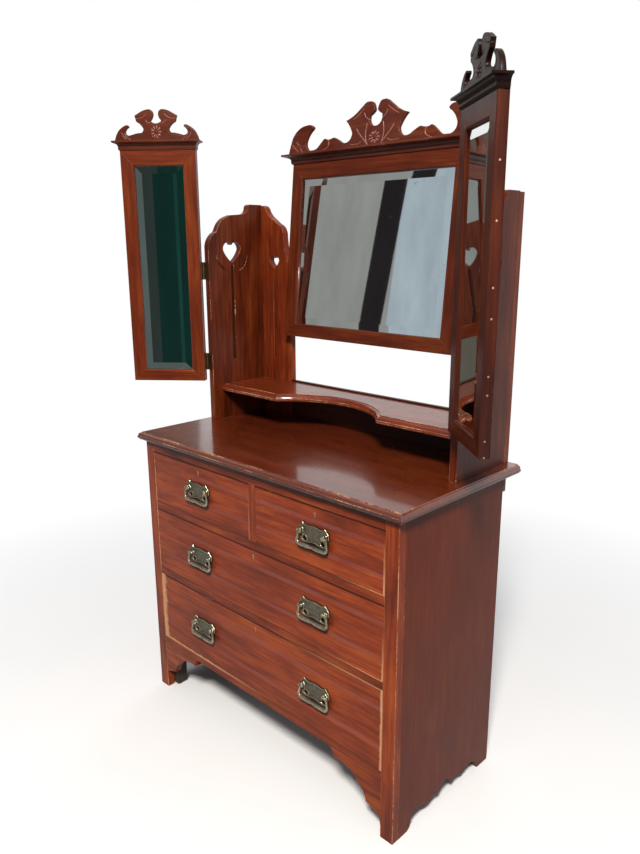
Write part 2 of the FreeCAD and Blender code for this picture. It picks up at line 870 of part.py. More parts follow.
# One drawer: its front, box, lock, bolt, handle plates and bails
def drawer(name, left, right, low, high, handles):
    x0 = left + d.drawer_gap
    x1 = right - d.drawer_gap
    z0 = low + d.drawer_seat_gap
    z1 = high - d.drawer_gap
    middle = middle_of(x0, x1)
    handle_z = middle_of(low, high)
    key_z = high - d.keyhole_drop
    post_z = handle_z + h.post_rise
    front_back = chest_front + d.front_thick

    front = new_body("drawer_front_" + name)
    raise_shape(front, "Board", "YZ_Plane", (x0, x1), [reeded_section(chest_front, z0, z1)])
    sink_shape(front, "Keyhole", "XZ_Plane", (chest_front - b.cut_overrun, front_back + b.cut_overrun),
               [keyhole(middle, key_z, d.keyhole_wall)])
    seat = (chest_front - b.cut_overrun, chest_front + d.keyhole_lining_depth)
    sink_shape(front, "KeyholeSeat", "XZ_Plane", seat,
               [keyhole(middle, key_z, mm_zero)])
    hole = h.post_radius + h.post_hole_gap
    holes = []
    for x in handles:
        holes.append(circle(x - h.post_offset, post_z, hole))
        holes.append(circle(x + h.post_offset, post_z, hole))
    through = (chest_front - b.cut_overrun, front_back + b.cut_overrun)
    sink_shape(front, "PostHoles", "XZ_Plane", through, holes)
    nodes.append(front)

    box_back = back_front - d.drawer_back_gap
    side_top = z1 - d.drawer_side_drop
    floor_low = z0 + d.drawer_floor_rise
    tag = name.capitalize()
    wall = d.drawer_side_thick
    nodes.append(group("drawer_box_" + name, [
        block("SideLeft" + tag, (x0, x0 + wall), (front_back, box_back), (z0, side_top)),
        block("SideRight" + tag, (x1 - wall, x1), (front_back, box_back), (z0, side_top)),
        block("Back" + tag, (x0 + wall, x1 - wall), (box_back - wall, box_back),
              (floor_low + d.drawer_floor_thick, side_top)),
        block("Floor" + tag, (x0 + wall, x1 - wall), (front_back, box_back),
              (floor_low, floor_low + d.drawer_floor_thick)),
    ]))

    lock_high = z1 - d.lock_drop
    lock_low = lock_high - d.lock_height
    case = new_body("LockCase" + tag)
    half = d.lock_width / 2
    raise_shape(case, "Case", "XZ_Plane", (front_back, front_back + d.lock_thick),
                [rectangle((middle - half, middle + half), (lock_low, lock_high))])
    slot = d.bolt_width / 2 + d.bolt_fit
    sink_shape(case, "BoltWay", "XZ_Plane", (bolt_front - d.bolt_fit, bolt_back + d.bolt_fit),
               [rectangle((middle - slot, middle + slot),
                          (lock_high - d.bolt_height - d.lock_wall, lock_high + b.cut_overrun))])
    sink_shape(case, "KeyWay", "XZ_Plane", (front_back - b.cut_overrun, bolt_front),
               [circle(middle, key_z, d.key_hole_inner)])
    lining = new_body("Lining" + tag)
    raise_shape(lining, "Ring", "XZ_Plane", (chest_front, chest_front + d.keyhole_lining_depth),
                [keyhole(middle, key_z, mm_zero), keyhole(middle, key_z, d.keyhole_wall)])
    nodes.append(group("drawer_lock_" + name, [case, lining]))
    nodes.append(block("lock_bolt_" + name,
                       (middle - d.bolt_width / 2, middle + d.bolt_width / 2),
                       (bolt_front, bolt_back),
                       (lock_high - d.bolt_height, lock_high)))

    metal = []
    for number, x in enumerate(handles):
        mark = tag + str(number)
        plate = new_body("Plate" + mark)
        low_edge = handle_z - h.plate_drop
        face = moved(whole(scaled(plate_shares, h.plate_half, h.plate_height)), x, low_edge)
        gaps = [
            scaled(plate_hole_shares, h.plate_half, h.plate_height, x, low_edge, 1),
            scaled(plate_hole_shares, h.plate_half, h.plate_height, x, low_edge, -1),
            circle(x - h.post_offset, post_z, hole),
            circle(x + h.post_offset, post_z, hole),
        ]
        plate_front = chest_front - h.plate_thick
        raise_shape(plate, "Plate", "XZ_Plane", (plate_front, chest_front), [face] + gaps)
        metal.append(plate)
        for end in (-1, 1):
            post_x = x + end * h.post_offset
            post = new_body("Post%s%s" % (mark, "L" if end < 0 else "R"))
            nut_back = front_back + h.nut_thick
            raise_shape(post, "Shaft", "XZ_Plane", (plate_front, nut_back + h.nut_grip),
                        [circle(post_x, post_z, h.post_radius)])
            raise_shape(post, "Knob", "XZ_Plane", (plate_front - h.knob_length, plate_front),
                        [circle(post_x, post_z, h.knob_radius)])
            sink_shape(post, "Bore", "YZ_Plane",
                       (post_x - h.knob_radius - b.cut_overrun, post_x + h.knob_radius + b.cut_overrun),
                       [circle(pin_y, post_z, h.bail_pin_radius + h.bail_fit)])
            metal.append(post)
            nut = new_body("Nut%s%s" % (mark, "L" if end < 0 else "R"))
            grip = h.nut_width / 2
            raise_shape(nut, "Nut", "XZ_Plane", (front_back, nut_back),
                        [rectangle((post_x - grip, post_x + grip), (post_z - grip, post_z + grip)),
                         circle(post_x, post_z, hole)])
            metal.append(nut)
        bail("bail_" + name + ("" if len(handles) == 1 else ("_left", "_right")[number]), x, post_z)
    nodes.append(group("handle_plates_" + name, metal))


# Swinging bail: a bent rod with an eye and an inward pin at each end, hung about its pins
def bail(label, x, z):
    body = new_body(label)
    reach = eye_reach
    low = -h.bail_drop
    corner = h.bail_corner
    wide = reach + h.bail_splay
    swell = corner * bail_corner_swell_share
    path = [
        (-reach, mm_zero),
        (-wide, low + corner, swell),
        (-wide + corner, low),
        (wide - corner, low, swell),
        (wide, low + corner),
        (reach, mm_zero),
    ]
    spine = draw(body, "RodPath", "XZ_Plane", mm_zero, [path], closed=False)
    section = draw(body, "RodSection", "XY_Plane", mm_zero, [circle(-reach, mm_zero, h.bail_rod_radius)])
    rod = body.newObject("PartDesign::AdditivePipe", "Rod")
    rod.Profile = section
    rod.Spine = (spine, ["Edge%d" % (i + 1) for i in range(len(path) - 1)])
    rod.Transition = "Transformed"
    for tag, side in (("L", -1), ("R", 1)):
        eye = pair(side, reach - h.bail_eye_thick / 2, reach + h.bail_eye_thick / 2)
        raise_shape(body, "Eye" + tag, "YZ_Plane", eye, [circle(mm_zero, mm_zero, h.bail_eye_radius)])
        pin = pair(side, reach - h.bail_eye_thick / 2 - pin_length, reach)
        raise_shape(body, "Pin" + tag, "YZ_Plane", pin, [circle(mm_zero, mm_zero, h.bail_pin_radius)])
    place(body, x, pin_y, z, (1, 0, 0), -h.bail_lean_angle)
    nodes.append(body)


both = [-handle_offset, handle_offset]
drawer("short_left", -stile_inner, -divider_half, upper_rail_high, top_rail_low, both[:1])
drawer("short_right", divider_half, stile_inner, upper_rail_high, top_rail_low, both[1:])
drawer("middle", -stile_inner, stile_inner, lower_rail_high, upper_rail_low, both)
drawer("bottom", -stile_inner, stile_inner, bottom_rail_high, lower_rail_low, both)

# Corner standards: a side board and a rear board behind its end
board_back = define("rear_board_back", top_back - u.standard_back_inset)
board_front = define("rear_board_front", board_back - u.rear_board_thick)
standard_front = define("standard_front", board_front - u.standard_depth)
standard_half = define("standard_half", half_width - u.standard_inset)
standard_inner = define("standard_inner", standard_half - u.standard_thick)
board_inner = define("rear_board_inner", standard_half - u.rear_board_width)
pivot_y = define("pivot_place", board_front + m.pivot_set)


def up_standard(share):
    return top_surface + u.standard_height * share


pivot_z = define("pivot_height", up_standard(pivot_rise_share))
mirror_half = define("mirror_half", board_inner - 2 * b.pivot_plate_thick - b.pivot_gap)


def heart(width, height, x, z):
    return moved(whole(scaled(heart_shares, width, height)), x, z)


for name, side in sides:
    across = pair(side, standard_inner, standard_half)
    board = new_body("standard_side_" + name)
    shape = [(standard_front, top_surface), (board_front, top_surface)]
    shape += scaled(standard_shares, u.standard_depth, u.standard_height, standard_front, top_surface)
    raise_shape(board, "Board", "YZ_Plane", across, [shape])
    centre = standard_front + u.big_heart_set
    sink_shape(board, "Heart", "YZ_Plane", (across[0] - b.cut_overrun, across[1] + b.cut_overrun),
               [heart(u.big_heart_width, u.big_heart_height, centre, up_standard(big_heart_rise_share))])
    leaf_z = up_standard(crescent_rise_share)
    low_half = u.stem_low_width / 2
    high_half = u.stem_high_width / 2
    carving = [
        scaled(crescent_shares, u.big_heart_width, u.big_heart_width, centre, leaf_z, 1),
        scaled(crescent_shares, u.big_heart_width, u.big_heart_width, centre, leaf_z, -1),
        [
            (centre - low_half, top_surface + u.stem_low),
            (centre + low_half, top_surface + u.stem_low),
            (centre + high_half, up_standard(stem_rise_share)),
            (centre - high_half, up_standard(stem_rise_share)),
        ],
    ]
    for tag, face in (("One", (across[0] - b.cut_overrun, across[0] + u.carving_depth)),
                      ("Two", (across[1] - u.carving_depth, across[1] + b.cut_overrun))):
        sink_shape(board, "Carving" + tag, "YZ_Plane", face, carving)
    nodes.append(board)

    rear = new_body("standard_back_" + name)
    near = side * board_inner
    shape = [(near, top_surface), (side * standard_half, top_surface)]
    shape += scaled(rear_board_shares, u.rear_board_width, u.standard_height, near, top_surface, side)
    raise_shape(rear, "Board", "XZ_Plane", (board_front, board_back), [shape])
    sink_shape(rear, "Heart", "XZ_Plane", (board_front - b.cut_overrun, board_back + b.cut_overrun),
               [heart(u.small_heart_width, u.small_heart_height,
                      side * (standard_half - u.small_heart_inset), up_standard(small_heart_rise_share))])
    stem = u.small_stem_width / 2
    stem_x = side * (standard_half - u.small_stem_inset)
    groove = rectangle((stem_x - stem, stem_x + stem),
                       (top_surface + u.small_stem_low, up_standard(small_stem_rise_share)))
    carved = (board_front - b.cut_overrun, board_front + u.carving_depth)
    sink_shape(rear, "Carving", "XZ_Plane", carved, [groove])
    socket = pair(side, board_inner - b.cut_overrun,
                  mirror_half + b.pivot_pin_length + b.pivot_hole_spare)
    sink_shape(rear, "Socket", "YZ_Plane", socket,
               [circle(pivot_y, pivot_z, b.pivot_pin_radius + b.pivot_hole_gap)])
    nodes.append(rear)

# Shelf with straight ends and a hollowed middle, its front edge moulded and mitred
shelf_high = define("shelf_high", top_surface + u.shelf_surface_rise)
shelf_low = define("shelf_low", shelf_high - u.shelf_thick)
shelf_line = define("shelf_line", standard_front + u.shelf_set)
shelf_board = new_body("ShelfBoard")
raise_shape(shelf_board, "Board", "XY_Plane", (shelf_low, shelf_high), [[
    (-standard_inner, shelf_line),
    (-u.shelf_corner, shelf_line, -u.shelf_hollow),
    (u.shelf_corner, shelf_line),
    (standard_inner, shelf_line),
    (standard_inner, board_front),
    (-standard_inner, board_front),
]])


def nosing_section(line):
    """Section of the moulded strip, in front of the line where the board ends."""
    def at(inset, drop):
        return (line - u.shelf_nosing + inset, shelf_high - drop)

    low_step = u.shelf_thick * shelf_round_share
    return [
        at(u.shelf_nosing, mm_zero),
        at(u.shelf_nosing, u.shelf_quirk) + (u.shelf_nosing * shelf_swell_share,),
        at(u.shelf_lower_inset / 2, low_step),
        at(mm_zero, low_step),
        at(mm_zero, u.shelf_thick * shelf_bead_share),
        at(u.shelf_lower_inset, u.shelf_thick),
        at(u.shelf_nosing, u.shelf_thick),
    ]


# The mitre lies half way between the straight strip's end and the hollow strip's end
hollow_radius = (u.shelf_corner * u.shelf_corner / u.shelf_hollow + u.shelf_hollow) / 2
hollow_radius = define("hollow_radius", hollow_radius)
hollow_centre = define("hollow_centre", shelf_line + u.shelf_hollow - hollow_radius)
mitre_y = 2 * u.shelf_nosing
mitre_x = mitre_y * u.shelf_corner / (2 * hollow_radius - u.shelf_hollow)
strip_cut = (shelf_low - b.cut_overrun, shelf_high + b.cut_overrun)
far = 2 * u.shelf_corner


def mitre_shape(side, line, away):
    corner = side * u.shelf_corner
    first = (corner + side * mitre_x, line + mitre_y)
    last = (corner - side * mitre_x, line - mitre_y)
    return [first, last, (last[0] + away, last[1]), (first[0] + away, first[1])]


strips = []
for name, side in sides:
    strip = new_body("ShelfStrip" + name.capitalize())
    raise_shape(strip, "Strip", "YZ_Plane", pair(side, u.shelf_corner - 2 * mitre_x, standard_inner),
                [nosing_section(shelf_line)])
    sink_shape(strip, "Mitre", "XY_Plane", strip_cut, [mitre_shape(side, shelf_line, -side * far)])
    strips.append(strip)
hollow = new_body("ShelfStripHollow")
section = draw(hollow, "StripSection", "YZ_Plane", mm_zero, [nosing_section(hollow_radius)])
turned = hollow.newObject("PartDesign::Revolution", "Strip")
turned.Profile = section
turned.ReferenceAxis = (section, ["V_Axis"])
turned.Midplane = True
opening_angle = angle_of(u.shelf_corner, hollow_radius - u.shelf_hollow)
turned.Angle = (2 * opening_angle + u.mitre_spare_angle).value
bind(turned, "Angle", 2 * opening_angle + u.mitre_spare_angle)
doc.recompute()
for name, side in sides:
    sink_shape(hollow, "Mitre" + name.capitalize(), "XY_Plane", strip_cut,
               [mitre_shape(side, hollow_radius - u.shelf_hollow, side * far)])
place(hollow, mm_zero, hollow_centre, mm_zero)
nodes.append(group("shelf", [shelf_board] + strips + [hollow]))
nodes.append(block("shelf_back", (-board_inner, board_inner),
                   (board_front, board_front + u.shelf_back_thick),
                   (top_surface, top_surface + u.shelf_back_height)))


# A mirror: four mitred members, a back panel, bevelled glass, a cornice and a pediment, all
# drawn square to their own axes and then turned into place
def frame_section(width, outer, inward, front, upright):
    """Section of a frame member, from its outer edge towards the glass."""
    thick = m.frame_thick
    shape = [
        (mm_zero, m.frame_arris, m.frame_arris * frame_round_swell_share),
        (m.frame_arris, mm_zero),
        (width - m.sight_round, mm_zero, m.sight_round * frame_round_swell_share),
        (width, m.sight_round),
        (width, m.lip_thick),
        (width - m.rebate_width, m.lip_thick),
        (width - m.rebate_width, thick),
        (mm_zero, thick),
    ]
    points = []
    for p in shape:
        along = outer + inward * p[0]
        deep = front + p[1]
        swell = p[2] if len(p) > 2 else mm_zero
        sense = -1 if (inward > 0) == upright else 1
        sense = -sense
        pair_of = (along, deep) if upright else (deep, along)
        points.append(pair_of + (swell * sense if swell.value else mm_zero,))
    return points


def mitre_cut(body, name, front, corner, inner, away):
    """Cut a member's end along the line from the frame's corner to the sight corner."""
    dx = (inner[0] - corner[0]) * mitre_reach_share
    dy = (inner[1] - corner[1]) * mitre_reach_share
    first = (corner[0] - dx, corner[1] - dy)
    last = (inner[0] + dx, inner[1] + dy)
    shape = [first, last] + moved([last, first], *away)
    through = (front - b.cut_overrun, front + m.frame_thick + b.cut_overrun)
    sink_shape(body, name, "XZ_Plane", through, [shape])


def mirror_frame(tag, x, z, front, stile, top_wide, bottom_wide):
    corners = {
        "TL": ((x[0], z[1]), (x[0] + stile, z[1] - top_wide)),
        "TR": ((x[1], z[1]), (x[1] - stile, z[1] - top_wide)),
        "BL": ((x[0], z[0]), (x[0] + stile, z[0] + bottom_wide)),
        "BR": ((x[1], z[0]), (x[1] - stile, z[0] + bottom_wide)),
    }
    far = 3 * stile
    up, down = (mm_zero, far), (mm_zero, -far)
    leftward, rightward = (-far, mm_zero), (far, mm_zero)
    members = []
    for name, outer, inward, ends in (("Left", x[0], 1, "L"), ("Right", x[1], -1, "R")):
        member = new_body(tag + "Stile" + name)
        raise_shape(member, "Board", "XY_Plane", z, [frame_section(stile, outer, inward, front, True)])
        mitre_cut(member, "TopMitre", front, *corners["T" + ends], up)
        mitre_cut(member, "LowMitre", front, *corners["B" + ends], down)
        members.append(member)
    rails = (("Top", z[1], -1, top_wide, "T"), ("Bottom", z[0], 1, bottom_wide, "B"))
    for name, outer, inward, wide, ends in rails:
        member = new_body(tag + "Rail" + name)
        raise_shape(member, "Board", "YZ_Plane", x, [frame_section(wide, outer, inward, front, False)])
        mitre_cut(member, "LeftMitre", front, *corners[ends + "L"], leftward)
        mitre_cut(member, "RightMitre", front, *corners[ends + "R"], rightward)
        members.append(member)
    slack = m.rebate_width - m.glass_gap
    open_x = (x[0] + stile - slack, x[1] - stile + slack)
    open_z = (z[0] + bottom_wide - slack, z[1] - top_wide + slack)
    panel_front = front + m.lip_thick + m.glass_edge_thick
    members.append(block(tag + "Panel", open_x, (panel_front, panel_front + m.back_panel_thick), open_z))
    return members


def mirror_glass(label, x, z, front, stile, top_wide, bottom_wide):
    slack = m.rebate_width - m.glass_gap
    sight_x = (x[0] + stile, x[1] - stile)
    sight_z = (z[0] + bottom_wide, z[1] - top_wide)
    edge_front = front + m.lip_thick
    glass = new_body(label)
    raise_shape(glass, "Sheet", "XZ_Plane", (edge_front, edge_front + m.glass_edge_thick),
                [rectangle((sight_x[0] - slack, sight_x[1] + slack),
                           (sight_z[0] - slack, sight_z[1] + slack))])
    gap = m.glass_gap
    wide = m.glass_bevel_width
    low = draw(glass, "BevelFoot", "XZ_Plane", edge_front,
               [rectangle((sight_x[0] + gap, sight_x[1] - gap), (sight_z[0] + gap, sight_z[1] - gap))])
    high = draw(glass, "BevelHead", "XZ_Plane", edge_front - m.glass_bevel_rise,
                [rectangle((sight_x[0] + wide, sight_x[1] - wide), (sight_z[0] + wide, sight_z[1] - wide))])
    loft = glass.newObject("PartDesign::AdditiveLoft", "Bevel")
    loft.Profile = low
    loft.Sections = [high]
    loft.Ruled = True
    return glass


def cornice(tag, x, low, tall, front, over):
    body = new_body(tag + "Cornice")
    back = front + m.frame_thick
    high = low + tall
    raise_shape(body, "Core", "XY_Plane", (low, high), [rectangle(x, (front, back))])

    def at(inset, drop):
        return (x[0] - over + inset, high - drop)

    fascia = tall * cornice_fascia_share
    step = over * cornice_step_share
    cove = over * cornice_cove_share
    cove_low = tall * cornice_cove_low_share
    bead = tall * cornice_bead_share
    profile = [
        at(mm_zero, mm_zero),
        at(mm_zero, fascia),
        at(step, fascia) + (-over * cove_swell_share,),
        at(cove, cove_low),
        at(cove, bead) + (over * bead_swell_share,),
        at(over, tall),
        at(over + t.moulding_lap, tall),
        at(over + t.moulding_lap, mm_zero),
    ]
    path = [(x[0], back), (x[0], front), (x[1], front), (x[1], back)]
    run_moulding(body, "Moulding", path, high, profile, "XZ_Plane", back)
    return body


def pediment(tag, x, low, tall, half, shares, front):
    body = new_body(tag + "Pediment")
    middle = middle_of(x[0], x[1])
    half_outline = [(mm_zero, mm_zero, mm_zero)] + scaled(shares, half, tall)
    raise_shape(body, "Board", "XZ_Plane", (front, front + m.pediment_thick),
                [moved(whole(half_outline), middle, low)])
    return body


# Centre mirror, drawn about its pivot axis and leaning back
centre_front = m.axis_to_back - m.frame_thick
centre_x = (-mirror_half, mirror_half)
centre_z = (-m.centre_low, m.centre_high)
widths = (m.centre_stile, m.centre_top, m.centre_bottom)
members = mirror_frame("Centre", centre_x, centre_z, centre_front, *widths)
centre_frame = group("centre_frame", members)
centre_glass = mirror_glass("centre_glass", centre_x, centre_z, centre_front, *widths)
centre_crest = group("centre_cresting", [
    cornice("Centre", centre_x, m.centre_high, m.cornice_height, centre_front, m.cornice_overhang),
    pediment("Centre", centre_x, m.centre_high + m.cornice_height, m.pediment_height,
             mirror_half + m.pediment_overhang, pediment_shares, centre_front),
])

# Pivots: a pin on a plate at each side of the frame, turning in a plate on the rear board
plate_half = b.pivot_plate_width / 2
studs = []
plates = []
for name, side in sides:
    stud = new_body("Stud" + name.capitalize())
    raise_shape(stud, "Plate", "YZ_Plane", pair(side, mirror_half, mirror_half + b.pivot_plate_thick),
                [rectangle((-plate_half, plate_half), (-b.pivot_plate_below, b.pivot_plate_above))])
    raise_shape(stud, "Pin", "YZ_Plane", pair(side, mirror_half, mirror_half + b.pivot_pin_length),
                [circle(mm_zero, mm_zero, b.pivot_pin_radius)])
    studs.append(stud)
    plate = new_body("Socket" + name.capitalize())
    raise_shape(plate, "Plate", "YZ_Plane", pair(side, board_inner - b.pivot_plate_thick, board_inner),
                [rectangle((pivot_y - plate_half, pivot_y + plate_half),
                           (pivot_z - b.pivot_plate_below, pivot_z + b.pivot_plate_above)),
                 circle(pivot_y, pivot_z, b.pivot_pin_radius + b.pivot_fit)])
    plates.append(plate)
pivot_studs = group("pivot_studs", studs)
nodes.append(group("pivot_plates", plates))
for thing in (centre_frame, centre_glass, centre_crest, pivot_studs):
    place(thing, mm_zero, pivot_y, pivot_z, (1, 0, 0), -m.lean_angle)
    nodes.append(thing)

# Wing mirrors, drawn about their hinge axes and turned forward
axis_x = define("hinge_axis_x", standard_half + b.hinge_proud)
axis_y = define("hinge_axis_y", standard_front - b.hinge_stand)
wing_front = -(b.hinge_proud + m.frame_thick)
wing_low = define("wing_low", top_surface + m.wing_low_rise)
wing_high = define("wing_high", wing_low + m.wing_height)
for name, side in sides:
    tag = "Wing" + name.capitalize()
    wing_x = pair(side, b.hinge_stand, b.hinge_stand + m.wing_width)
    wing_z = (wing_low, wing_high)
    widths = (m.wing_stile, m.wing_top, m.wing_bottom)
    frame = group("wing_frame_" + name, mirror_frame(tag, wing_x, wing_z, wing_front, *widths))
    glass = mirror_glass("wing_glass_" + name, wing_x, wing_z, wing_front, *widths)
    crest = group("wing_cresting_" + name, [
        cornice(tag, wing_x, wing_high, m.wing_cornice_height, wing_front, m.wing_cornice_overhang),
        pediment(tag, wing_x, wing_high + m.wing_cornice_height, m.wing_pediment_height,
                 m.wing_width / 2 + m.wing_pediment_overhang, wing_pediment_shares, wing_front),
    ])

    third = b.hinge_length / 3
    fixed_leaves = []
    moving_leaves = []
    for level, low in (("Lower", top_surface + b.lower_hinge_rise),
                       ("Upper", up_standard(upper_hinge_rise_share))):
        high = low + b.hinge_length
        lower_joint = low + third
        upper_joint = high - third
        gap = b.knuckle_gap / 2
        bore = b.hinge_pin_radius + b.hinge_fit
        far_edge = standard_half - b.leaf_width
        near_edge = standard_half - b.leaf_clear

        # Leaf on the front edge of the standard, with the outer two knuckles
        leaf = new_body("Fixed%s%s" % (level, name.capitalize()))
        raise_shape(leaf, "Leaf", "XZ_Plane", (standard_front - b.leaf_thick, standard_front),
                    [rectangle(pair(side, far_edge, near_edge), (low, high))])
        for end, span in (("Low", (low, lower_joint - gap)), ("High", (upper_joint + gap, high))):
            raise_shape(leaf, "Neck" + end, "XZ_Plane", (standard_front - b.leaf_thick, standard_front),
                        [rectangle(pair(side, near_edge - b.leaf_clear, axis_x), span)])
            raise_shape(leaf, "Knuckle" + end, "XY_Plane", span,
                        [circle(side * axis_x, axis_y, b.knuckle_radius)])
        sink_shape(leaf, "Bore", "XY_Plane", (low - b.cut_overrun, high + b.cut_overrun),
                   [circle(side * axis_x, axis_y, bore)])
        fixed_leaves.append(leaf)

        # Leaf on the edge of the wing's frame, with the middle knuckle and the pin
        leaf = new_body("Moving%s%s" % (level, name.capitalize()))
        clear = b.knuckle_radius + b.leaf_clear
        raise_shape(leaf, "Leaf", "YZ_Plane", pair(side, b.hinge_stand - b.leaf_thick, b.hinge_stand),
                    [rectangle((-clear - b.leaf_width, -clear), (low, high))])
        raise_shape(leaf, "Neck", "YZ_Plane", pair(side, b.hinge_stand - b.leaf_thick, b.hinge_stand),
                    [rectangle((-clear - b.leaf_clear, mm_zero), (lower_joint + gap, upper_joint - gap))])
        raise_shape(leaf, "Knuckle", "XY_Plane", (lower_joint + gap, upper_joint - gap),
                    [circle(mm_zero, mm_zero, b.knuckle_radius)])
        raise_shape(leaf, "Pin", "XY_Plane", (low, high), [circle(mm_zero, mm_zero, b.hinge_pin_radius)])
        moving_leaves.append(leaf)
    nodes.append(group("hinge_fixed_" + name, fixed_leaves))
    moving = group("hinge_moving_" + name, moving_leaves)
    for thing in (frame, glass, crest, moving):
        place(thing, side * axis_x, axis_y, mm_zero, (0, 0, 1), -side * m.wing_angle)
        nodes.append(thing)

doc.recompute()

faults = []
for thing in doc.Objects:
    if "Invalid" in thing.State or "Error" in thing.State:
        faults.append(thing.Label + ": " + ",".join(thing.State))
    if thing.TypeId == "PartDesign::Pocket" and thing.BaseFeature is not None:
        if thing.Shape.Volume >= thing.BaseFeature.Shape.Volume:
            faults.append(thing.Label + ": cuts nothing")
for node in nodes:
    if node.Shape.isNull() or not node.Shape.isValid() or not node.Shape.Solids:
        faults.append(node.Label + ": bad shape")
if faults:
    raise SystemExit("\n".join(faults))

os.makedirs("parts", exist_ok=True)
for node in nodes:
    node.Shape.exportStep("parts/%s.step" % node.Label)
print(len(nodes), "nodes,", sum(len(n.Shape.Solids) for n in nodes), "solids")
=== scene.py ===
"""Dressing table with mirror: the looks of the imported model.

Mahogany boards with softened, worn arrises and figured grain, carved crests, cast brass
handles with swinging bails, bevelled mirror glass, pine linings, a pale floor and soft light.
Everything is in metres, in the frame's own axes: +X to the right, +Y back, +Z up.
"""
import json
import math

import bmesh
import bpy
import numpy as np
from mathutils import Matrix, Vector

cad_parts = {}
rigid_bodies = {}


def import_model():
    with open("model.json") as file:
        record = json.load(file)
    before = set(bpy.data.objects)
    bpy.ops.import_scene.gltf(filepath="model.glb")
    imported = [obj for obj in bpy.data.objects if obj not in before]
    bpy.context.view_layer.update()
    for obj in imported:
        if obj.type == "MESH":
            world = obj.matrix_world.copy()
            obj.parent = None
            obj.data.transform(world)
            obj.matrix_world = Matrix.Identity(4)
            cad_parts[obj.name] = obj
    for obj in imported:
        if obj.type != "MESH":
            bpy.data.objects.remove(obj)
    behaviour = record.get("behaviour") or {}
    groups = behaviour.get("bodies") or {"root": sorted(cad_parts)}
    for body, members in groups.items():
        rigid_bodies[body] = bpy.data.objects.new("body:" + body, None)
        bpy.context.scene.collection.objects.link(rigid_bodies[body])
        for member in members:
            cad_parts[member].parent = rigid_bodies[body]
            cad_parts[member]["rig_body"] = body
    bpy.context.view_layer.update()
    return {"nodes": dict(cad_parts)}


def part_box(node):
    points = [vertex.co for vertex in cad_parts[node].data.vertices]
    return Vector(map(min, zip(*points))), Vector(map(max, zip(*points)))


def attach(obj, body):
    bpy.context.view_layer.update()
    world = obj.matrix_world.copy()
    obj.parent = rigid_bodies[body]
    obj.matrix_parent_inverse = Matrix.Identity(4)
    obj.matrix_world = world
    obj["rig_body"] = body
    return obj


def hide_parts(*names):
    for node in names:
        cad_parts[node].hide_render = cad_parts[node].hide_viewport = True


bl_info = {
    "name": "Dressing Table",
    "version": (1, 0, 0),
    "blender": (4, 5, 0),
    "location": "View3D > Sidebar > Dressing Table",
    "description": "Finishes for a mahogany dressing table with three mirrors",
    "category": "Object",
}

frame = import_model()
NODES = frame["nodes"]
MM = 0.001

# Where the mirrors hang: the wings' hinge lines and the centre mirror's pivots
WING_LINE = (0.4435, -0.004)
WING_TURN = math.radians(40)
PIVOT = (0.0, 0.21, 1.255)
LEAN = math.radians(5.4)

DRAWERS = ("short_left", "short_right", "middle", "bottom")

# Fixed colours: painted shade with some grime, the painted sheen of the reeds, pale cuts with painted
# highlights, and a purplish film of wax bloom and painted sheen on the mahogany, grime and edges of
# the pine, foxing in the glass, and brass as (rubbed, tarnished)
SHADE_AND_GRIME = (0.016, 0.0045, 0.0028)
PAINTED_REED_SHEEN = (0.235, 0.072, 0.060)
PALE_CUTS_AND_PETAL_HIGHLIGHTS = (0.46, 0.20, 0.15)
WAX_BLOOM_AND_SHEEN = (0.40, 0.24, 0.24)
PINE_GRIME = (0.10, 0.055, 0.032)
PINE_EDGE = (0.18, 0.10, 0.05)
FOXING = (0.30, 0.28, 0.24)
KEYHOLE_BRASS = ((0.80, 0.56, 0.42), (0.34, 0.20, 0.12))
HINGE_BRASS = ((0.15, 0.085, 0.036), (0.030, 0.017, 0.008))

# Faces that turn by less than FLAT are one face, an edge that turns by more than ARRIS is an arris
FLAT = math.radians(0.7)
ARRIS = math.radians(26)
NEAR = 1e-4

# How far behind a face the floor of the sunk carving is: from, to
SUNK = (0.0002, 0.0027)

# The drawers: where the two reeded bands are, as shares of the height, and half their width, half
# the width and height of the dark patch round a handle, painted shade with some grime of old polish,
# and how far it lies below the bail's top
REEDS = (0.29, 0.76)
REED_HALF = 0.0055
HANDLE_PATCH_WIDE = 0.058
HANDLE_PATCH_TALL = 0.036
HANDLE_PATCH_DOWN = 0.018

# The crests and the handles
CREST_THICK = 0.010
PLATE = 0.003  # thickness of the plate
PLATE_FOOT = 0.027  # from the pins down to the plate's foot
PIN_OUT = 0.009  # from the drawer's face out to the pins
PIN_DOWN = 0.005  # from the bail's top down to the pins
POST_SIDE = 0.037  # from the plate's middle to a post
POST_HOLE = 0.0033  # radius that holds the edge of a post's hole
KNOB_OUT = 0.0125  # what stands further out of the drawer's face is a knob


def piece_space(node):
    """The axes that a piece is drawn in: turned for a wing, leaning for the centre mirror."""
    if node.endswith("_left") and node.startswith(("wing", "hinge_moving")):
        return Matrix.Translation((-WING_LINE[0], WING_LINE[1], 0)) @ Matrix.Rotation(WING_TURN, 4, "Z")
    if node.endswith("_right") and node.startswith(("wing", "hinge_moving")):
        return Matrix.Translation((WING_LINE[0], WING_LINE[1], 0)) @ Matrix.Rotation(-WING_TURN, 4, "Z")
    if node.startswith("centre") or node == "pivot_studs":
        return Matrix.Translation(PIVOT) @ Matrix.Rotation(-LEAN, 4, "X")
    return Matrix.Identity(4)


# settings

def colour_setting(name, description, default):
    return bpy.props.FloatVectorProperty(
        name=name, description=description, default=default, size=3, min=0.0, max=1.0, subtype="COLOR")


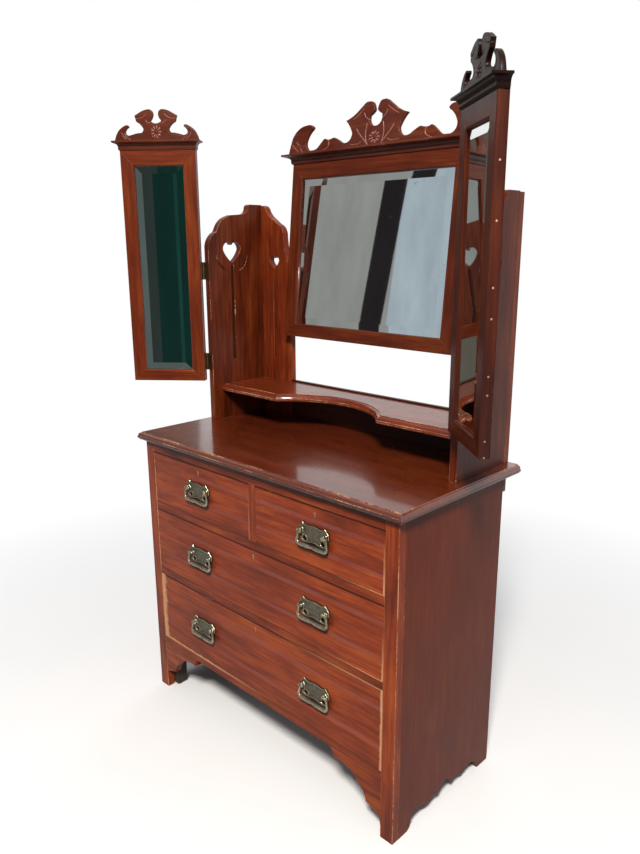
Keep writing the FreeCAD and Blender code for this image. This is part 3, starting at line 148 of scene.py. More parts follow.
class DressingSizes(bpy.types.PropertyGroup):
    arris: bpy.props.FloatProperty(
        name="Arris", description="How far the boards' sharp edges are rounded over",
        default=0.0009, min=0.0, max=0.003, unit="LENGTH")
    carving: bpy.props.FloatProperty(
        name="Carving depth", description="Depth of the carved lines on the crests",
        default=0.0016, min=0.0, max=0.004, unit="LENGTH")
    relief: bpy.props.FloatProperty(
        name="Handle relief", description="Height of the cast ornament on the handle plates",
        default=0.0015, min=0.0, max=0.003, unit="LENGTH")
    bail_thick: bpy.props.FloatProperty(
        name="Bail thickness", description="Thickest radius of the swinging bails",
        default=0.0048, min=0.001, max=0.006, unit="LENGTH")


class DressingColours(bpy.types.PropertyGroup):
    mahogany_dark: colour_setting(
        name="Mahogany, dark", description="Darkest figure in the mahogany", default=(0.078, 0.0125, 0.0045))
    mahogany_middle: colour_setting(
        name="Mahogany, middle", description="Ground colour of the mahogany", default=(0.245, 0.037, 0.010))
    mahogany_light: colour_setting(
        name="Mahogany, light", description="Brightest figure in the mahogany", default=(0.46, 0.096, 0.017))
    bare_wood: colour_setting(
        name="Bare wood", description="Wood where the polish is rubbed off", default=(0.78, 0.41, 0.22))
    pine: colour_setting(
        name="Pine", description="Linings, runners and back boards", default=(0.40, 0.23, 0.11))
    brass_high: colour_setting(
        name="Brass, rubbed", description="Raised parts of the brass", default=(0.36, 0.325, 0.225))
    brass_low: colour_setting(
        name="Brass, tarnished", description="Hollows of the brass", default=(0.010, 0.008, 0.0045))
    silver: colour_setting(
        name="Mirror silver", description="Silvering behind the glass", default=(0.78, 0.82, 0.82))
    floor: colour_setting(
        name="Floor", description="Floor and backdrop", default=(0.86, 0.86, 0.86))


# node helpers

def rgba(colour, factor=1.0):
    """A colour times a factor, with full alpha."""
    return tuple(min(1.0, c * factor) for c in tuple(colour)[:3]) + (1.0,)


class Sheet:
    """A node tree that is filled by short calls."""

    def __init__(self, tree):
        self.tree = tree

    def fill(self, node, inputs):
        """Gives a node its inputs: a socket is linked, anything else is set as a constant."""
        for key, value in inputs.items():
            if isinstance(value, bpy.types.NodeSocket):
                self.tree.links.new(value, node.inputs[key])
            else:
                node.inputs[key].default_value = value
        return node

    def add(self, kind, inputs=None, **settings):
        node = self.tree.nodes.new("ShaderNode" + kind)
        for key, value in settings.items():
            setattr(node, key, value)
        return self.fill(node, inputs or {})

    def math(self, operation, first, second=0.0, third=None, clamp=False):
        values = {0: first, 1: second}
        if third is not None:
            values[2] = third
        return self.add("Math", values, operation=operation, use_clamp=clamp).outputs[0]

    def vector(self, operation, first, second):
        return self.add("VectorMath", {0: first, 1: second}, operation=operation).outputs[0]

    def noise(self, vector, scale, detail=3.0, roughness=0.55, distortion=0.0):
        return self.add("TexNoise", {"Vector": vector, "Scale": scale, "Detail": detail,
                                     "Roughness": roughness, "Distortion": distortion}).outputs["Fac"]

    def drawn_noise(self, vector, scales, *shape):
        """Noise with a scale of its own along each axis."""
        return self.noise(self.vector("MULTIPLY", vector, scales), 1.0, *shape)

    def ramp(self, fac, low, high, start=0.0, end=1.0):
        return self.add("MapRange", {"Value": fac, "From Min": low, "From Max": high,
                                     "To Min": start, "To Max": end}, clamp=True).outputs[0]

    def mix(self, fac, first, second, blend="MIX"):
        node = self.add("Mix", data_type="RGBA", blend_type=blend, clamp_factor=True)
        ends = [end if isinstance(end, bpy.types.NodeSocket) else rgba(end) for end in (first, second)]
        return self.fill(node, {"Factor": fac, 6: ends[0], 7: ends[1]}).outputs[2]

    def grey(self, value):
        return self.add("CombineColor", {0: value, 1: value, 2: value}).outputs[0]

    def attribute(self, name, output="Fac"):
        return self.add("Attribute", attribute_name=name, attribute_type="GEOMETRY").outputs[output]

    def place(self, output="Object"):
        return self.add("TexCoord").outputs[output]

    def parts(self, vector):
        return self.add("SeparateXYZ", {0: vector}).outputs

    def bump(self, strength, distance, height):
        return self.add("Bump", {"Strength": strength, "Distance": distance, "Height": height}).outputs[0]


def empty_sheet(owner):
    """Switches an owner's nodes on and clears them away."""
    owner.use_nodes = True
    owner.node_tree.nodes.clear()
    return Sheet(owner.node_tree)


def new_group(name, inputs, outputs):
    """An effect with named inputs and outputs. Returns the group, its sheet and both ends."""
    group = bpy.data.node_groups.new(name, "ShaderNodeTree")
    for title, kind, default in inputs:
        socket = group.interface.new_socket(name=title, in_out="INPUT", socket_type=kind)
        if default is not None:
            socket.default_value = default
    for title, kind in outputs:
        group.interface.new_socket(name=title, in_out="OUTPUT", socket_type=kind)
    start = group.nodes.new("NodeGroupInput")
    end = group.nodes.new("NodeGroupOutput")
    return group, Sheet(group), start.outputs, end


def new_material(name):
    """An empty material, its sheet and its shader."""
    material = bpy.data.materials.new(name)
    sheet = empty_sheet(material)
    shader = sheet.add("BsdfPrincipled")
    sheet.add("OutputMaterial", {"Surface": shader.outputs[0]})
    return material, sheet, shader


# shared effects

def wood_figure():
    """Figured wood: wide bands, fine streaks and short pores, all drawn out along the grain."""
    if "Wood figure" in bpy.data.node_groups:
        return bpy.data.node_groups["Wood figure"]
    group, sheet, start, end = new_group(
        "Wood figure",
        [("Grain", "NodeSocketVector", None), ("Dark", "NodeSocketColor", None),
         ("Middle", "NodeSocketColor", None), ("Light", "NodeSocketColor", None),
         ("Contrast", "NodeSocketFloat", 1.0)],
        [("Colour", "NodeSocketColor"), ("Figure", "NodeSocketFloat"), ("Pores", "NodeSocketFloat")])
    grain = start["Grain"]
    wide = sheet.drawn_noise(grain, (3.4, 17.0, 17.0), 3.0, 0.55, 0.9)
    cloud = sheet.drawn_noise(grain, (4.6, 8.0, 8.0), 3.0, 0.6, 0.5)
    streak = sheet.drawn_noise(grain, (6.5, 110.0, 110.0), 4.0, 0.62, 0.35)
    fine = sheet.drawn_noise(grain, (12.0, 420.0, 420.0), 2.0, 0.6)
    pore = sheet.drawn_noise(grain, (55.0, 1500.0, 1500.0), 1.0, 0.5)
    pores = sheet.ramp(pore, 0.60, 0.72)
    blend = sheet.math("MULTIPLY_ADD", wide, 0.34, sheet.math("MULTIPLY", streak, 0.42))
    blend = sheet.math("MULTIPLY_ADD", cloud, 0.24, blend)
    centred = sheet.math("SUBTRACT", blend, 0.5)
    spread = sheet.math("MULTIPLY", centred, start["Contrast"])
    figure = sheet.math("MULTIPLY_ADD", spread, 2.6, 0.5, clamp=True)
    low = sheet.mix(sheet.ramp(figure, 0.0, 0.5), start["Dark"], start["Middle"])
    colour = sheet.mix(sheet.ramp(figure, 0.5, 1.0), low, start["Light"])
    colour = sheet.mix(1.0, colour, sheet.grey(sheet.ramp(fine, 0.35, 0.65, 0.86, 1.08)), "MULTIPLY")
    colour = sheet.mix(sheet.math("MULTIPLY", pores, 0.42), colour, start["Dark"])
    sheet.fill(end, {"Colour": colour, "Figure": figure, "Pores": pores})
    return group


def edge_wear():
    """Rubbed edges: the wear that a mesh carries, broken up along its length."""
    if "Edge wear" in bpy.data.node_groups:
        return bpy.data.node_groups["Edge wear"]
    group, sheet, start, end = new_group(
        "Edge wear",
        [("Place", "NodeSocketVector", None), ("Wear", "NodeSocketFloat", 0.0),
         ("Amount", "NodeSocketFloat", 0.5)],
        [("Mask", "NodeSocketFloat")])
    long = sheet.drawn_noise(start["Place"], (9.0, 9.0, 9.0), 3.0, 0.6)
    short = sheet.drawn_noise(start["Place"], (150.0, 150.0, 150.0), 3.0, 0.7)
    both = sheet.math("MULTIPLY_ADD", long, 0.6, sheet.math("MULTIPLY", short, 0.4))
    limit = sheet.math("SUBTRACT", 0.72, sheet.math("MULTIPLY", start["Amount"], 0.4))
    shown = sheet.math("MULTIPLY", sheet.math("SUBTRACT", both, limit), 9.0, clamp=True)
    sheet.fill(end, {"Mask": sheet.math("MULTIPLY", shown, start["Wear"], clamp=True)})
    return group


def torn_edge(sheet, along, edge, width, side, ragged, tear, fade, most):
    """A strip beside an edge with a ragged inner border: most at the edge, nothing beyond. Tear, the
    depth of its ragged places, and fade, where the border starts and ends, are shares of its width."""
    inward = sheet.math("MULTIPLY", sheet.math("SUBTRACT", along, edge), side)
    torn = sheet.math("MULTIPLY_ADD", ragged, -tear * width, inward)
    return sheet.ramp(torn, fade[0] * width, fade[1] * width, most, 0.0)


def mahogany(name, tint=1.0, polish=0.06, gloss=0.16, rough=0.38, wear=0.5, contrast=1.0, strips=(), bands=(),
             dots=(), darkening=(), handle_grime_and_shade=(), scratches=0.0, bloom_and_sheen=0.0, carved=0.0, shine=0.12):
    """Polished mahogany. Strips are places rubbed to bare wood: (axis, edge, width, side, strength,
    other axis, from, to), fading in along the other axis.
    Bands are reeded stretches, (low, high) in Z, painted with a dusty purple sheen, a painted
    reflection. Dots are nail plugs; the darkened edges are painted shade along an edge: (axis, edge,
    width, side); the patches round the handles are painted shade under each bail, with some grime.
    The film is a pale purplish bloom of dust and old wax with a painted sheen; carved is how pale
    the gouged lines and the painted highlights on the petal crowns are."""
    if name in bpy.data.materials:
        return bpy.data.materials[name]
    colours = bpy.context.scene.dressing_colours
    material, sheet, shader = new_material(name)
    grain = sheet.attribute("grain", "Vector")
    place = sheet.place()
    light = rgba(colours.mahogany_light, tint)
    figure = sheet.add("Group", {
        "Grain": grain, "Dark": rgba(colours.mahogany_dark, tint),
        "Middle": rgba(colours.mahogany_middle, tint), "Light": light, "Contrast": contrast},
        node_tree=wood_figure()).outputs
    blot = sheet.drawn_noise(grain, (2.6, 9.0, 9.0), 3.0, 0.6)
    colour = sheet.mix(sheet.ramp(blot, 0.50, 0.75, 0.0, 0.45), figure["Colour"], colours.mahogany_dark)
    edge = sheet.attribute("wear")
    worn = {"Place": place, "Wear": edge, "Amount": wear}
    mask = sheet.add("Group", worn, node_tree=edge_wear()).outputs["Mask"]
    colour = sheet.mix(sheet.math("MULTIPLY", edge, 0.35), colour, light)
    parts = sheet.parts(place)
    ragged = sheet.drawn_noise(place, (70.0, 70.0, 70.0), 4.0, 0.7)
    for axis, edge_at, width, side, strength, other, start, end in strips:
        strip = torn_edge(sheet, parts[axis], edge_at, width, side, ragged, 1.3, (-0.25, 0.15), strength)
        strip = sheet.math("MULTIPLY", strip, sheet.ramp(parts[other], start, end))
        mask = sheet.math("MAXIMUM", mask, strip)
    # painted shade: near black in the floors of the sunk carving, along the darkened edges and round the
    # handles, where it is partly grime
    shade_and_grime = sheet.math("MULTIPLY", sheet.attribute("recess_shade"), 0.8)
    for axis, edge_at, width, side in darkening:
        line = torn_edge(sheet, parts[axis], edge_at, width, side, ragged, 0.8, (-0.1, 0.6), 0.92)
        shade_and_grime = sheet.math("MAXIMUM", shade_and_grime, line)
    # painted shade round and under each bail, partly grime of old polish
    for x, z in handle_grime_and_shade:
        across = sheet.math("DIVIDE", sheet.math("SUBTRACT", parts[0], x), HANDLE_PATCH_WIDE)
        up = sheet.math("DIVIDE", sheet.math("SUBTRACT", parts[2], z), HANDLE_PATCH_TALL)
        away = sheet.math("MULTIPLY_ADD", across, across, sheet.math("MULTIPLY", up, up))
        shade_and_grime = sheet.math("MAXIMUM", shade_and_grime, sheet.ramp(away, 0.35, 1.1, 0.92, 0.0))
    colour = sheet.mix(shade_and_grime, colour, SHADE_AND_GRIME)
    for spot in dots:
        away = sheet.add("VectorMath", {0: place, 1: tuple(spot)}, operation="DISTANCE").outputs["Value"]
        mask = sheet.math("MAXIMUM", mask, sheet.ramp(away, 0.0014, 0.0024, 0.8, 0.0))
    # painted reflection: a dusty purple sheen along each reeded band
    for low, high in bands:
        above = sheet.math("SUBTRACT", parts[2], low)
        depth_in = sheet.math("MINIMUM", above, sheet.math("SUBTRACT", high, parts[2]))
        dusty = sheet.math("MULTIPLY", sheet.ramp(depth_in, 0.0, 0.0008, 0.0, 0.75),
                           sheet.ramp(sheet.noise(place, 12.0, 2.0, 0.5), 0.25, 0.6, 0.45, 1.0))
        colour = sheet.mix(dusty, colour, PAINTED_REED_SHEEN)
    # pale gouged lines, and painted highlights on the petal crowns
    if carved:
        gouged = sheet.math("MULTIPLY", sheet.attribute("carved"), carved, clamp=True)
        colour = sheet.mix(gouged, colour, PALE_CUTS_AND_PETAL_HIGHLIGHTS)
    bare_tone = sheet.mix(ragged, colours.bare_wood, rgba(colours.bare_wood, 0.62))
    colour = sheet.mix(mask, colour, bare_tone)
    roughness = sheet.math("MULTIPLY_ADD", sheet.noise(place, 22.0, 4.0, 0.6), 0.18, rough - 0.09)
    roughness = sheet.math("MULTIPLY_ADD", mask, 0.3, roughness)
    if scratches:
        along = sheet.drawn_noise(place, (14.0, 420.0, 14.0), 2.0, 0.5, 1.5)
        across = sheet.drawn_noise(place, (330.0, 18.0, 18.0), 2.0, 0.5, 1.8)
        lines = sheet.math("MAXIMUM", sheet.ramp(along, 0.70, 0.74), sheet.ramp(across, 0.72, 0.76))
        patch = sheet.ramp(sheet.noise(place, 3.5, 2.0, 0.5), 0.5, 0.62)
        lines = sheet.math("MULTIPLY", sheet.math("MULTIPLY", lines, patch), scratches)
        colour = sheet.mix(lines, colour, colours.bare_wood)
        roughness = sheet.math("MULTIPLY_ADD", lines, 0.25, roughness)
    # a pale purplish film: a bloom of dust and old wax, and a painted sheen
    if bloom_and_sheen:
        haze = sheet.math("MULTIPLY", sheet.ramp(sheet.noise(place, 9.0, 4.0, 0.6), 0.35, 0.75), bloom_and_sheen)
        colour = sheet.mix(haze, colour, WAX_BLOOM_AND_SHEEN)
    # the coat thins where the wood is worn and where shade and grime are painted
    polished_share = sheet.math("SUBTRACT", 1.0, sheet.math("MAXIMUM", mask, shade_and_grime))
    height = sheet.math("MULTIPLY_ADD", figure["Pores"], -0.6, figure["Figure"])
    dents = sheet.math("MULTIPLY_ADD", sheet.noise(place, 240.0, 2.0, 0.5), 0.5, height)
    sheet.fill(shader, {
        "Base Color": colour, "Roughness": roughness, "Specular IOR Level": shine,
        "Coat Weight": sheet.math("MULTIPLY", polished_share, polish), "Coat Roughness": gloss, "Coat IOR": 1.5,
        "Normal": sheet.bump(0.16, 0.0006, dents)})
    return material


def pine_wood(name, tint=1.0, grime_most=0.55):
    """Plain pine, dusty and unpolished, with soft yellow-brown grain and darker edges."""
    if name in bpy.data.materials:
        return bpy.data.materials[name]
    material, sheet, shader = new_material(name)
    base = rgba(bpy.context.scene.dressing_colours.pine, tint)
    figure = sheet.add("Group", {
        "Grain": sheet.attribute("grain", "Vector"),
        "Dark": tuple(c * k for c, k in zip(base, (0.50, 0.42, 0.36, 1.0))),
        "Middle": base, "Light": rgba(base, 1.25), "Contrast": 0.8}, node_tree=wood_figure()).outputs
    darkening = sheet.ramp(sheet.noise(sheet.place(), 7.0, 4.0, 0.65), 0.45, 0.8, 0.0, grime_most)
    colour = sheet.mix(darkening, figure["Colour"], PINE_GRIME)
    height = sheet.math("MULTIPLY_ADD", figure["Pores"], -0.5, figure["Figure"])
    sheet.fill(shader, {
        "Base Color": sheet.mix(sheet.math("MULTIPLY", sheet.attribute("wear"), 0.3), colour, PINE_EDGE),
        "Roughness": sheet.math("MULTIPLY_ADD", figure["Figure"], 0.15, 0.62),
        "Normal": sheet.bump(0.25, 0.0006, height)})
    return material


def brass(name, high, low, rough=0.36, use_relief=False):
    """Cast brass: tarnish in the hollows, rubbed metal on what stands proud."""
    if name in bpy.data.materials:
        return bpy.data.materials[name]
    material, sheet, shader = new_material(name)
    place = sheet.place()
    cloud = sheet.noise(place, 160.0, 4.0, 0.65)
    grit = sheet.noise(place, 900.0, 3.0, 0.6)
    if use_relief:
        proud = sheet.math("MULTIPLY", sheet.math("POWER", sheet.attribute("relief"), 1.35), 0.95)
        raised = sheet.math("MULTIPLY_ADD", cloud, 0.30, proud)
    else:
        raised = sheet.math("MULTIPLY_ADD", cloud, 0.9, sheet.math("MULTIPLY", grit, 0.25))
    fac = sheet.ramp(raised, 0.30, 0.74)
    sheet.fill(shader, {
        "Base Color": sheet.mix(fac, low, high),
        "Roughness": sheet.math("MULTIPLY_ADD", fac, -0.22, rough + 0.18),
        "Metallic": sheet.ramp(fac, 0.0, 0.6, 0.55, 0.95),
        "Normal": sheet.bump(0.22, 0.0003, grit)})
    return material


def mirror_silver(name):
    """Silvered plate glass: nearly clear, with a faint haze and foxing in the silver."""
    if name in bpy.data.materials:
        return bpy.data.materials[name]
    material, sheet, shader = new_material(name)
    place = sheet.place()
    fox = sheet.ramp(sheet.noise(place, 38.0, 5.0, 0.7), 0.66, 0.74, 0.0, 0.5)
    haze = sheet.noise(place, 6.0, 3.0, 0.5)
    dull = sheet.math("MULTIPLY_ADD", fox, 0.3, 0.008)
    sheet.fill(shader, {
        "Base Color": sheet.mix(fox, bpy.context.scene.dressing_colours.silver, FOXING),
        "Roughness": sheet.math("MULTIPLY_ADD", haze, 0.02, dull), "Metallic": 1.0})
    return material


# mesh helpers

def read_array(items, key, width=1, kind=float):
    """One value of all of a mesh's items, as a row each where it has several numbers."""
    values = np.empty(len(items) * width, dtype=kind)
    items.foreach_get(key, values)
    return values.reshape(-1, width) if width > 1 else values


def write_layer(mesh, name, kind, domain, *values):
    layer = mesh.attributes.new(name, kind, domain)
    key = "vector" if kind == "FLOAT_VECTOR" else "value"
    layer.data.foreach_set(key, np.concatenate(values).astype(np.float32).ravel())


def component_labels(count, edges):
    """A number for each point, the same for all points that edges join."""
    labels = np.arange(count)
    while True:
        low = np.minimum(labels[edges[:, 0]], labels[edges[:, 1]])
        new = labels.copy()
        np.minimum.at(new, edges[:, 0], low)
        np.minimum.at(new, edges[:, 1], low)
        new = new[new]
        if np.array_equal(new, labels):
            return labels
        labels = new


def carry(points, matrix):
    """Points moved by a matrix."""
    matrix = np.array(matrix)
    return points @ matrix[:3, :3].T + matrix[:3, 3]


def read_corners(mesh):
    """How many corners each face has, then the point and the face of each corner."""
    totals = read_array(mesh.polygons, "loop_total", kind=np.int64)
    corner = read_array(mesh.loops, "vertex_index", kind=np.int64)
    return totals, corner, np.repeat(np.arange(len(totals)), totals)


def lay_grain(mesh, space, along=None):
    """Gives every board its own grain, along its longest side in the piece's own axes, or along
    the axis named: the attribute is (along, across, through), shifted by a step for each board."""
    local = carry(read_array(mesh.vertices, "co", 3), space.inverted())
    labels = component_labels(len(local), read_array(mesh.edges, "vertices", 2, np.int64))
    grain = np.empty_like(local)
    for number, label in enumerate(np.unique(labels)):
        rows = labels == label
        size = local[rows].max(0) - local[rows].min(0)
        order = np.argsort(-size) if along is None else [along] + [i for i in range(3) if i != along]
        centre = local[rows].mean(0)
        shift = np.array([3.71, 1.93, 2.57]) * ((number * 7 + int(abs(centre).sum() * 41)) % 13)
        grain[rows] = local[rows][:, order] + shift
    write_layer(mesh, "grain", "FLOAT_VECTOR", "POINT", grain)


def lay_frame_grain(mesh, space):
    """Grain for a mitred frame: each face belongs to the member whose outer edge it is nearest,
    and its corners carry (along, across, through) of that member."""
    local = carry(read_array(mesh.vertices, "co", 3), space.inverted())
    totals, corner, face = read_corners(mesh)
    middle = np.zeros((len(totals), 3))
    np.add.at(middle, face, local[corner])
    middle /= totals[:, None]
    low, high = local.min(0), local.max(0)
    offset = middle - (low + high) / 2
    room = (high - low) / 2 - np.abs(offset)
    rail = room[:, 2] < room[:, 0]
    shift = 3.1 * (1 + rail + 2 * (np.where(rail, offset[:, 2], offset[:, 0]) > 0))
    grain = np.where(rail[face][:, None], local[corner][:, [0, 2, 1]], local[corner][:, [2, 0, 1]])
    write_layer(mesh, "grain", "FLOAT_VECTOR", "CORNER", grain + shift[face][:, None])


def weigh_normals(mesh):
    """Smooth shading that keeps the broad faces flat: each point's normal is the mean of its
    faces' normals, weighted by their areas."""
    normals = read_array(mesh.polygons, "normal", 3)
    areas = read_array(mesh.polygons, "area")
    totals, corner, face = read_corners(mesh)
    summed = np.zeros((len(mesh.vertices), 3))
    np.add.at(summed, corner, (normals * areas[:, None])[face])
    length = np.linalg.norm(summed, axis=1, keepdims=True)
    summed = np.where(length > 1e-14, summed / np.maximum(length, 1e-14), [0, 0, 1])
    mesh.polygons.foreach_set("use_smooth", np.ones(len(totals), dtype=bool))
    mesh.normals_split_custom_set_from_vertices(summed.tolist())


def smooth_all(mesh, sharpest):
    """Smooth shading, broken at edges that turn by more than the angle in degrees."""
    mesh.set_sharp_from_angle(angle=math.radians(sharpest))
    mesh.polygons.foreach_set("use_smooth", np.ones(len(mesh.polygons), dtype=bool))


def finish_piece(name, mesh, node, material, along=None, replaces=True):
    """Puts a mesh in the scene as a piece of the node's body, in its finish."""
    piece = bpy.data.objects.new(name, mesh)
    bpy.context.collection.objects.link(piece)
    mesh.materials.append(material)
    if "_frame" in node:
        lay_frame_grain(mesh, piece_space(node))
    else:
        lay_grain(mesh, piece_space(node), along)
    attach(piece, NODES[node]["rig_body"])
    if replaces:
        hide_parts(node)
    return piece


def finish_node(node, material):
    """Gives its material to a node that stays as the frame has it."""
    NODES[node].data.materials.clear()
    NODES[node].data.materials.append(material)


def merged_copy(node):
    shape = bmesh.new()
    shape.from_mesh(NODES[node].data)
    bmesh.ops.remove_doubles(shape, verts=shape.verts, dist=5e-6)
    return shape


def join_flat_faces(shape):
    bmesh.ops.dissolve_limit(shape, angle_limit=FLAT, verts=shape.verts, edges=shape.edges)


def rounded_mesh(name, shape, arris, slide):
    """The shape's mesh, its arrises rounded over by two facets that are marked as worn. Slide lets
    the facets' ends follow the edges that they meet."""
    worn = shape.faces.layers.float.new("wear")
    recess_shade = shape.faces.layers.float.get("recess_shade")
    edges = [e for e in shape.edges if e.is_manifold and e.calc_face_angle(0.0) > ARRIS]
    made = bmesh.ops.bevel(shape, geom=edges, offset=arris, offset_type="OFFSET", segments=2, profile=0.5,
                           affect="EDGES", clamp_overlap=False, loop_slide=slide, material=-1)
    for face in made["faces"]:
        face[worn] = 1.0
        if recess_shade is not None:
            face[recess_shade] = 0.0
    mesh = bpy.data.meshes.new(name)
    shape.to_mesh(mesh)
    shape.free()
    weigh_normals(mesh)
    return mesh


def board(name, node, material, arris, along=None, sunk=None):
    """A copy of a CAD node with its arrises rounded over. Sunk is (axis, from, to): the band of
    places that only the sunk carving reaches, whose faces are painted dark as shade."""
    shape = merged_copy(node)
    join_flat_faces(shape)
    recess_shade = shape.faces.layers.float.new("recess_shade")
    if sunk:
        for face in shape.faces:
            face[recess_shade] = float(sunk[1] < face.calc_center_median()[sunk[0]] < sunk[2])
    mesh = rounded_mesh(name, shape, arris, True)
    return finish_piece(name, mesh, node, material, along=along)


# relief boards

def front_outline(node, space, front, wanted):
    """The outline of the wanted part of a node's flat front face, as segments (n, 2, 2) in x and z
    of the piece's own axes: the edges that belong to one front triangle only."""
    shape = merged_copy(node)
    bmesh.ops.transform(shape, matrix=space.inverted(), verts=shape.verts)
    faces = [f for f in shape.faces
             if f.normal.y < -0.99 and abs(f.calc_center_median().y - front) < 2 * NEAR
             and wanted(f.calc_center_median())]
    chosen = set(faces)
    segments = [[(v.co.x, v.co.z) for v in e.verts] for f in faces for e in f.edges
                if sum(1 for g in e.link_faces if g in chosen) == 1]
    shape.free()
    return np.array(segments)


def nearest_on(points, a, b):
    """The place on the segment from a to b that is nearest to each point."""
    run = b - a
    share = np.clip(((points - a) @ run) / max(run @ run, 1e-18), 0, 1)
    return a + share[:, None] * run


def outline_distance(points, segments):
    """Distance of each point to the nearest segment, positive inside by the even-odd rule, and
    that segment's nearest point."""
    best = np.full(len(points), 1e9)
    nearest = np.zeros_like(points)
    inside = np.zeros(len(points), dtype=bool)
    for a, b in segments:
        place = nearest_on(points, a, b)
        away = np.hypot(*(points - place).T)
        closer = away < best
        best = np.where(closer, away, best)
        nearest[closer] = place[closer]
        if a[1] != b[1]:
            crosses = (a[1] > points[:, 1]) != (b[1] > points[:, 1])
            x = a[0] + (points[:, 1] - a[1]) * (b[0] - a[0]) / (b[1] - a[1])
            inside ^= crosses & (points[:, 0] < x)
    return np.where(inside, best, -best), nearest


def line_distance(x, z, points):
    """Distance of each place to a line through the points."""
    places = np.stack([x, z], axis=1)
    steps = [np.hypot(*(places - nearest_on(places, a, b)).T) for a, b in zip(points[:-1], points[1:])]
    return np.min(steps, axis=0)


def cover(segments, cell):
    """Covers an outline by the cells of a square grid whose middles are inside, and draws the rim's
    points to it. Gives the points, their distances to the outline, the quads and the rim's edges."""
    low = segments.reshape(-1, 2).min(0) - cell
    high = segments.reshape(-1, 2).max(0) + cell
    across = np.arange(low[0], high[0] + cell, cell)
    up = np.arange(low[1], high[1] + cell, cell)
    x, z = np.meshgrid(across, up)
    grid = np.stack([x.ravel(), z.ravel()], axis=1)
    inset, nearest = outline_distance(grid, segments)
    columns = len(across)
    first = (np.arange(len(up) - 1)[:, None] * columns + np.arange(columns - 1)).ravel()
    quads = np.stack([first, first + 1, first + 1 + columns, first + columns], axis=1)
    quads = quads[outline_distance(grid[quads].mean(1), segments)[0] > 0]
    # the rim's edges belong to one kept cell only
    edges = np.concatenate([quads[:, [i, (i + 1) % 4]] for i in range(4)])
    index, counts = np.unique(np.sort(edges, axis=1), axis=0, return_index=True, return_counts=True)[1:]
    rim_edges = edges[index[counts == 1]]
    rim = np.unique(rim_edges)
    grid[rim] = nearest[rim]
    inset[rim] = 0.0
    used = np.unique(quads)
    number = np.full(len(grid), -1)
    number[used] = np.arange(len(used))
    return grid[used], np.maximum(inset[used], 0), number[quads], number[rim_edges]


def relief_board(name, segments, cell, front, back, height, space):
    """A board cut to an outline, its face raised or sunk by height(x, z, inset), which also
    gives how far each place is gouged. The face stands at front - height, the back at back, and a
    wall joins their rims."""
    flat, inset, quads, rim_edges = cover(segments, cell)
    x, z = flat.T
    raised, gouged = height(x, z, inset)
    face = np.stack([x, front - raised, z], axis=1)
    rear = np.stack([x, np.full_like(x, back), z], axis=1)
    count = len(flat)
    walls = np.concatenate([rim_edges[:, ::-1], rim_edges + count], axis=1)
    faces = np.concatenate([quads, quads[:, ::-1] + count, walls])
    mesh = bpy.data.meshes.new(name)
    mesh.from_pydata(carry(np.concatenate([face, rear]), space).tolist(), [], faces.tolist())
    span = max(float(raised.max() - raised.min()), 1e-9)
    write_layer(mesh, "relief", "FLOAT", "POINT", (raised - raised.min()) / span, np.zeros(count))
    write_layer(mesh, "carved", "FLOAT", "POINT", np.clip(gouged, 0, 1), np.zeros(count))
    rimmed = np.isin(quads, np.unique(rim_edges)).any(1)
    write_layer(mesh, "wear", "FLOAT", "FACE", rimmed, np.zeros(len(quads) + len(walls)))
    mesh.validate()
    smooth_all(mesh, 40)
    return mesh


def rounded_rim(inset, radius):
    """How far the face falls away near its rim, as a quarter of a circle."""
    t = np.clip(inset / radius, 0, 1)
    return -radius * (1 - np.sqrt(1 - (1 - t) ** 2))


def groove(distance, width):
    """A gouged line: one at its middle, falling to nothing at its sides."""
    return np.clip(1 - distance / width, 0, 1) ** 1.3


def rosette(across, up, petals):
    """A flower inside an oval of radius 1: a sunk ring round a low button, then petals whose
    crowns stand between gouge cuts. Gives the height, and the gouged part together with a painted
    highlight on the petal crowns, both as shares."""
    r = np.hypot(across, up)
    turn = np.arctan2(up, across)
    crown = np.abs(np.cos(turn * petals / 2))
    petal = np.clip(1 - ((r - 0.66) / 0.36) ** 2, 0, 1)
    cut = petal * np.clip(1.35 * (0.62 - crown), 0, 1)
    button = np.where(r < 0.26, np.sqrt(np.clip(0.0676 - r * r, 0, 1)) * 2.6, 0.0)
    ring = groove(np.abs(r - 0.31), 0.10)
    raised = np.where(r < 1.05, 0.55 * petal * crown - 1.1 * cut - 0.9 * ring + button, 0.0)
    return raised, np.where((r > 0.33) & (r < 1.0), petal * crown ** 3 * 0.8, 0.0)


def stroke(*points):
    """A gouged line through several points, each given in millimetres: straight runs whose
    corners are cut twice (a quarter from each end)."""
    line = np.array(points, dtype=float) * MM
    for _ in range(2):
        a, b = line[:-1], line[1:]
        cut = np.stack([0.75 * a + 0.25 * b, 0.25 * a + 0.75 * b], axis=1).reshape(-1, 2)
        line = np.concatenate([line[:1], cut, line[-1:]])
    return line


# The lines gouged in the crests, each side of the middle and up from the base, and their widths
CENTRE_LINES = [
    (stroke((26.7, 60), (30, 45), (31, 31), (27, 15), (21, 3)), 0.0013),
    (stroke((62, 50), (57.5, 43), (52, 37), (41, 26), (28, 13)), 0.0018),
    (stroke((38.6, 87), (36.5, 82), (34, 77), (26, 71.5), (16, 67)), 0.0013),
    (stroke((40.5, 97), (47, 91.5), (55, 86), (65, 80), (75, 75)), 0.0012),
    (stroke((45, 17), (51, 13.5), (57, 12), (69, 12), (82, 13)), 0.0012),
    (stroke((165, 32), (162, 27), (161, 21.5), (163.5, 15), (168.5, 12), (176, 9), (183, 7)), 0.0014),
    (stroke((304, 30.5), (299, 25), (292, 19.5), (280, 11.5)), 0.0013),
    (stroke((287, 36), (282, 31), (276, 27)), 0.0016),
    (stroke((272, 20), (267, 12), (260, 5)), 0.0013),
]
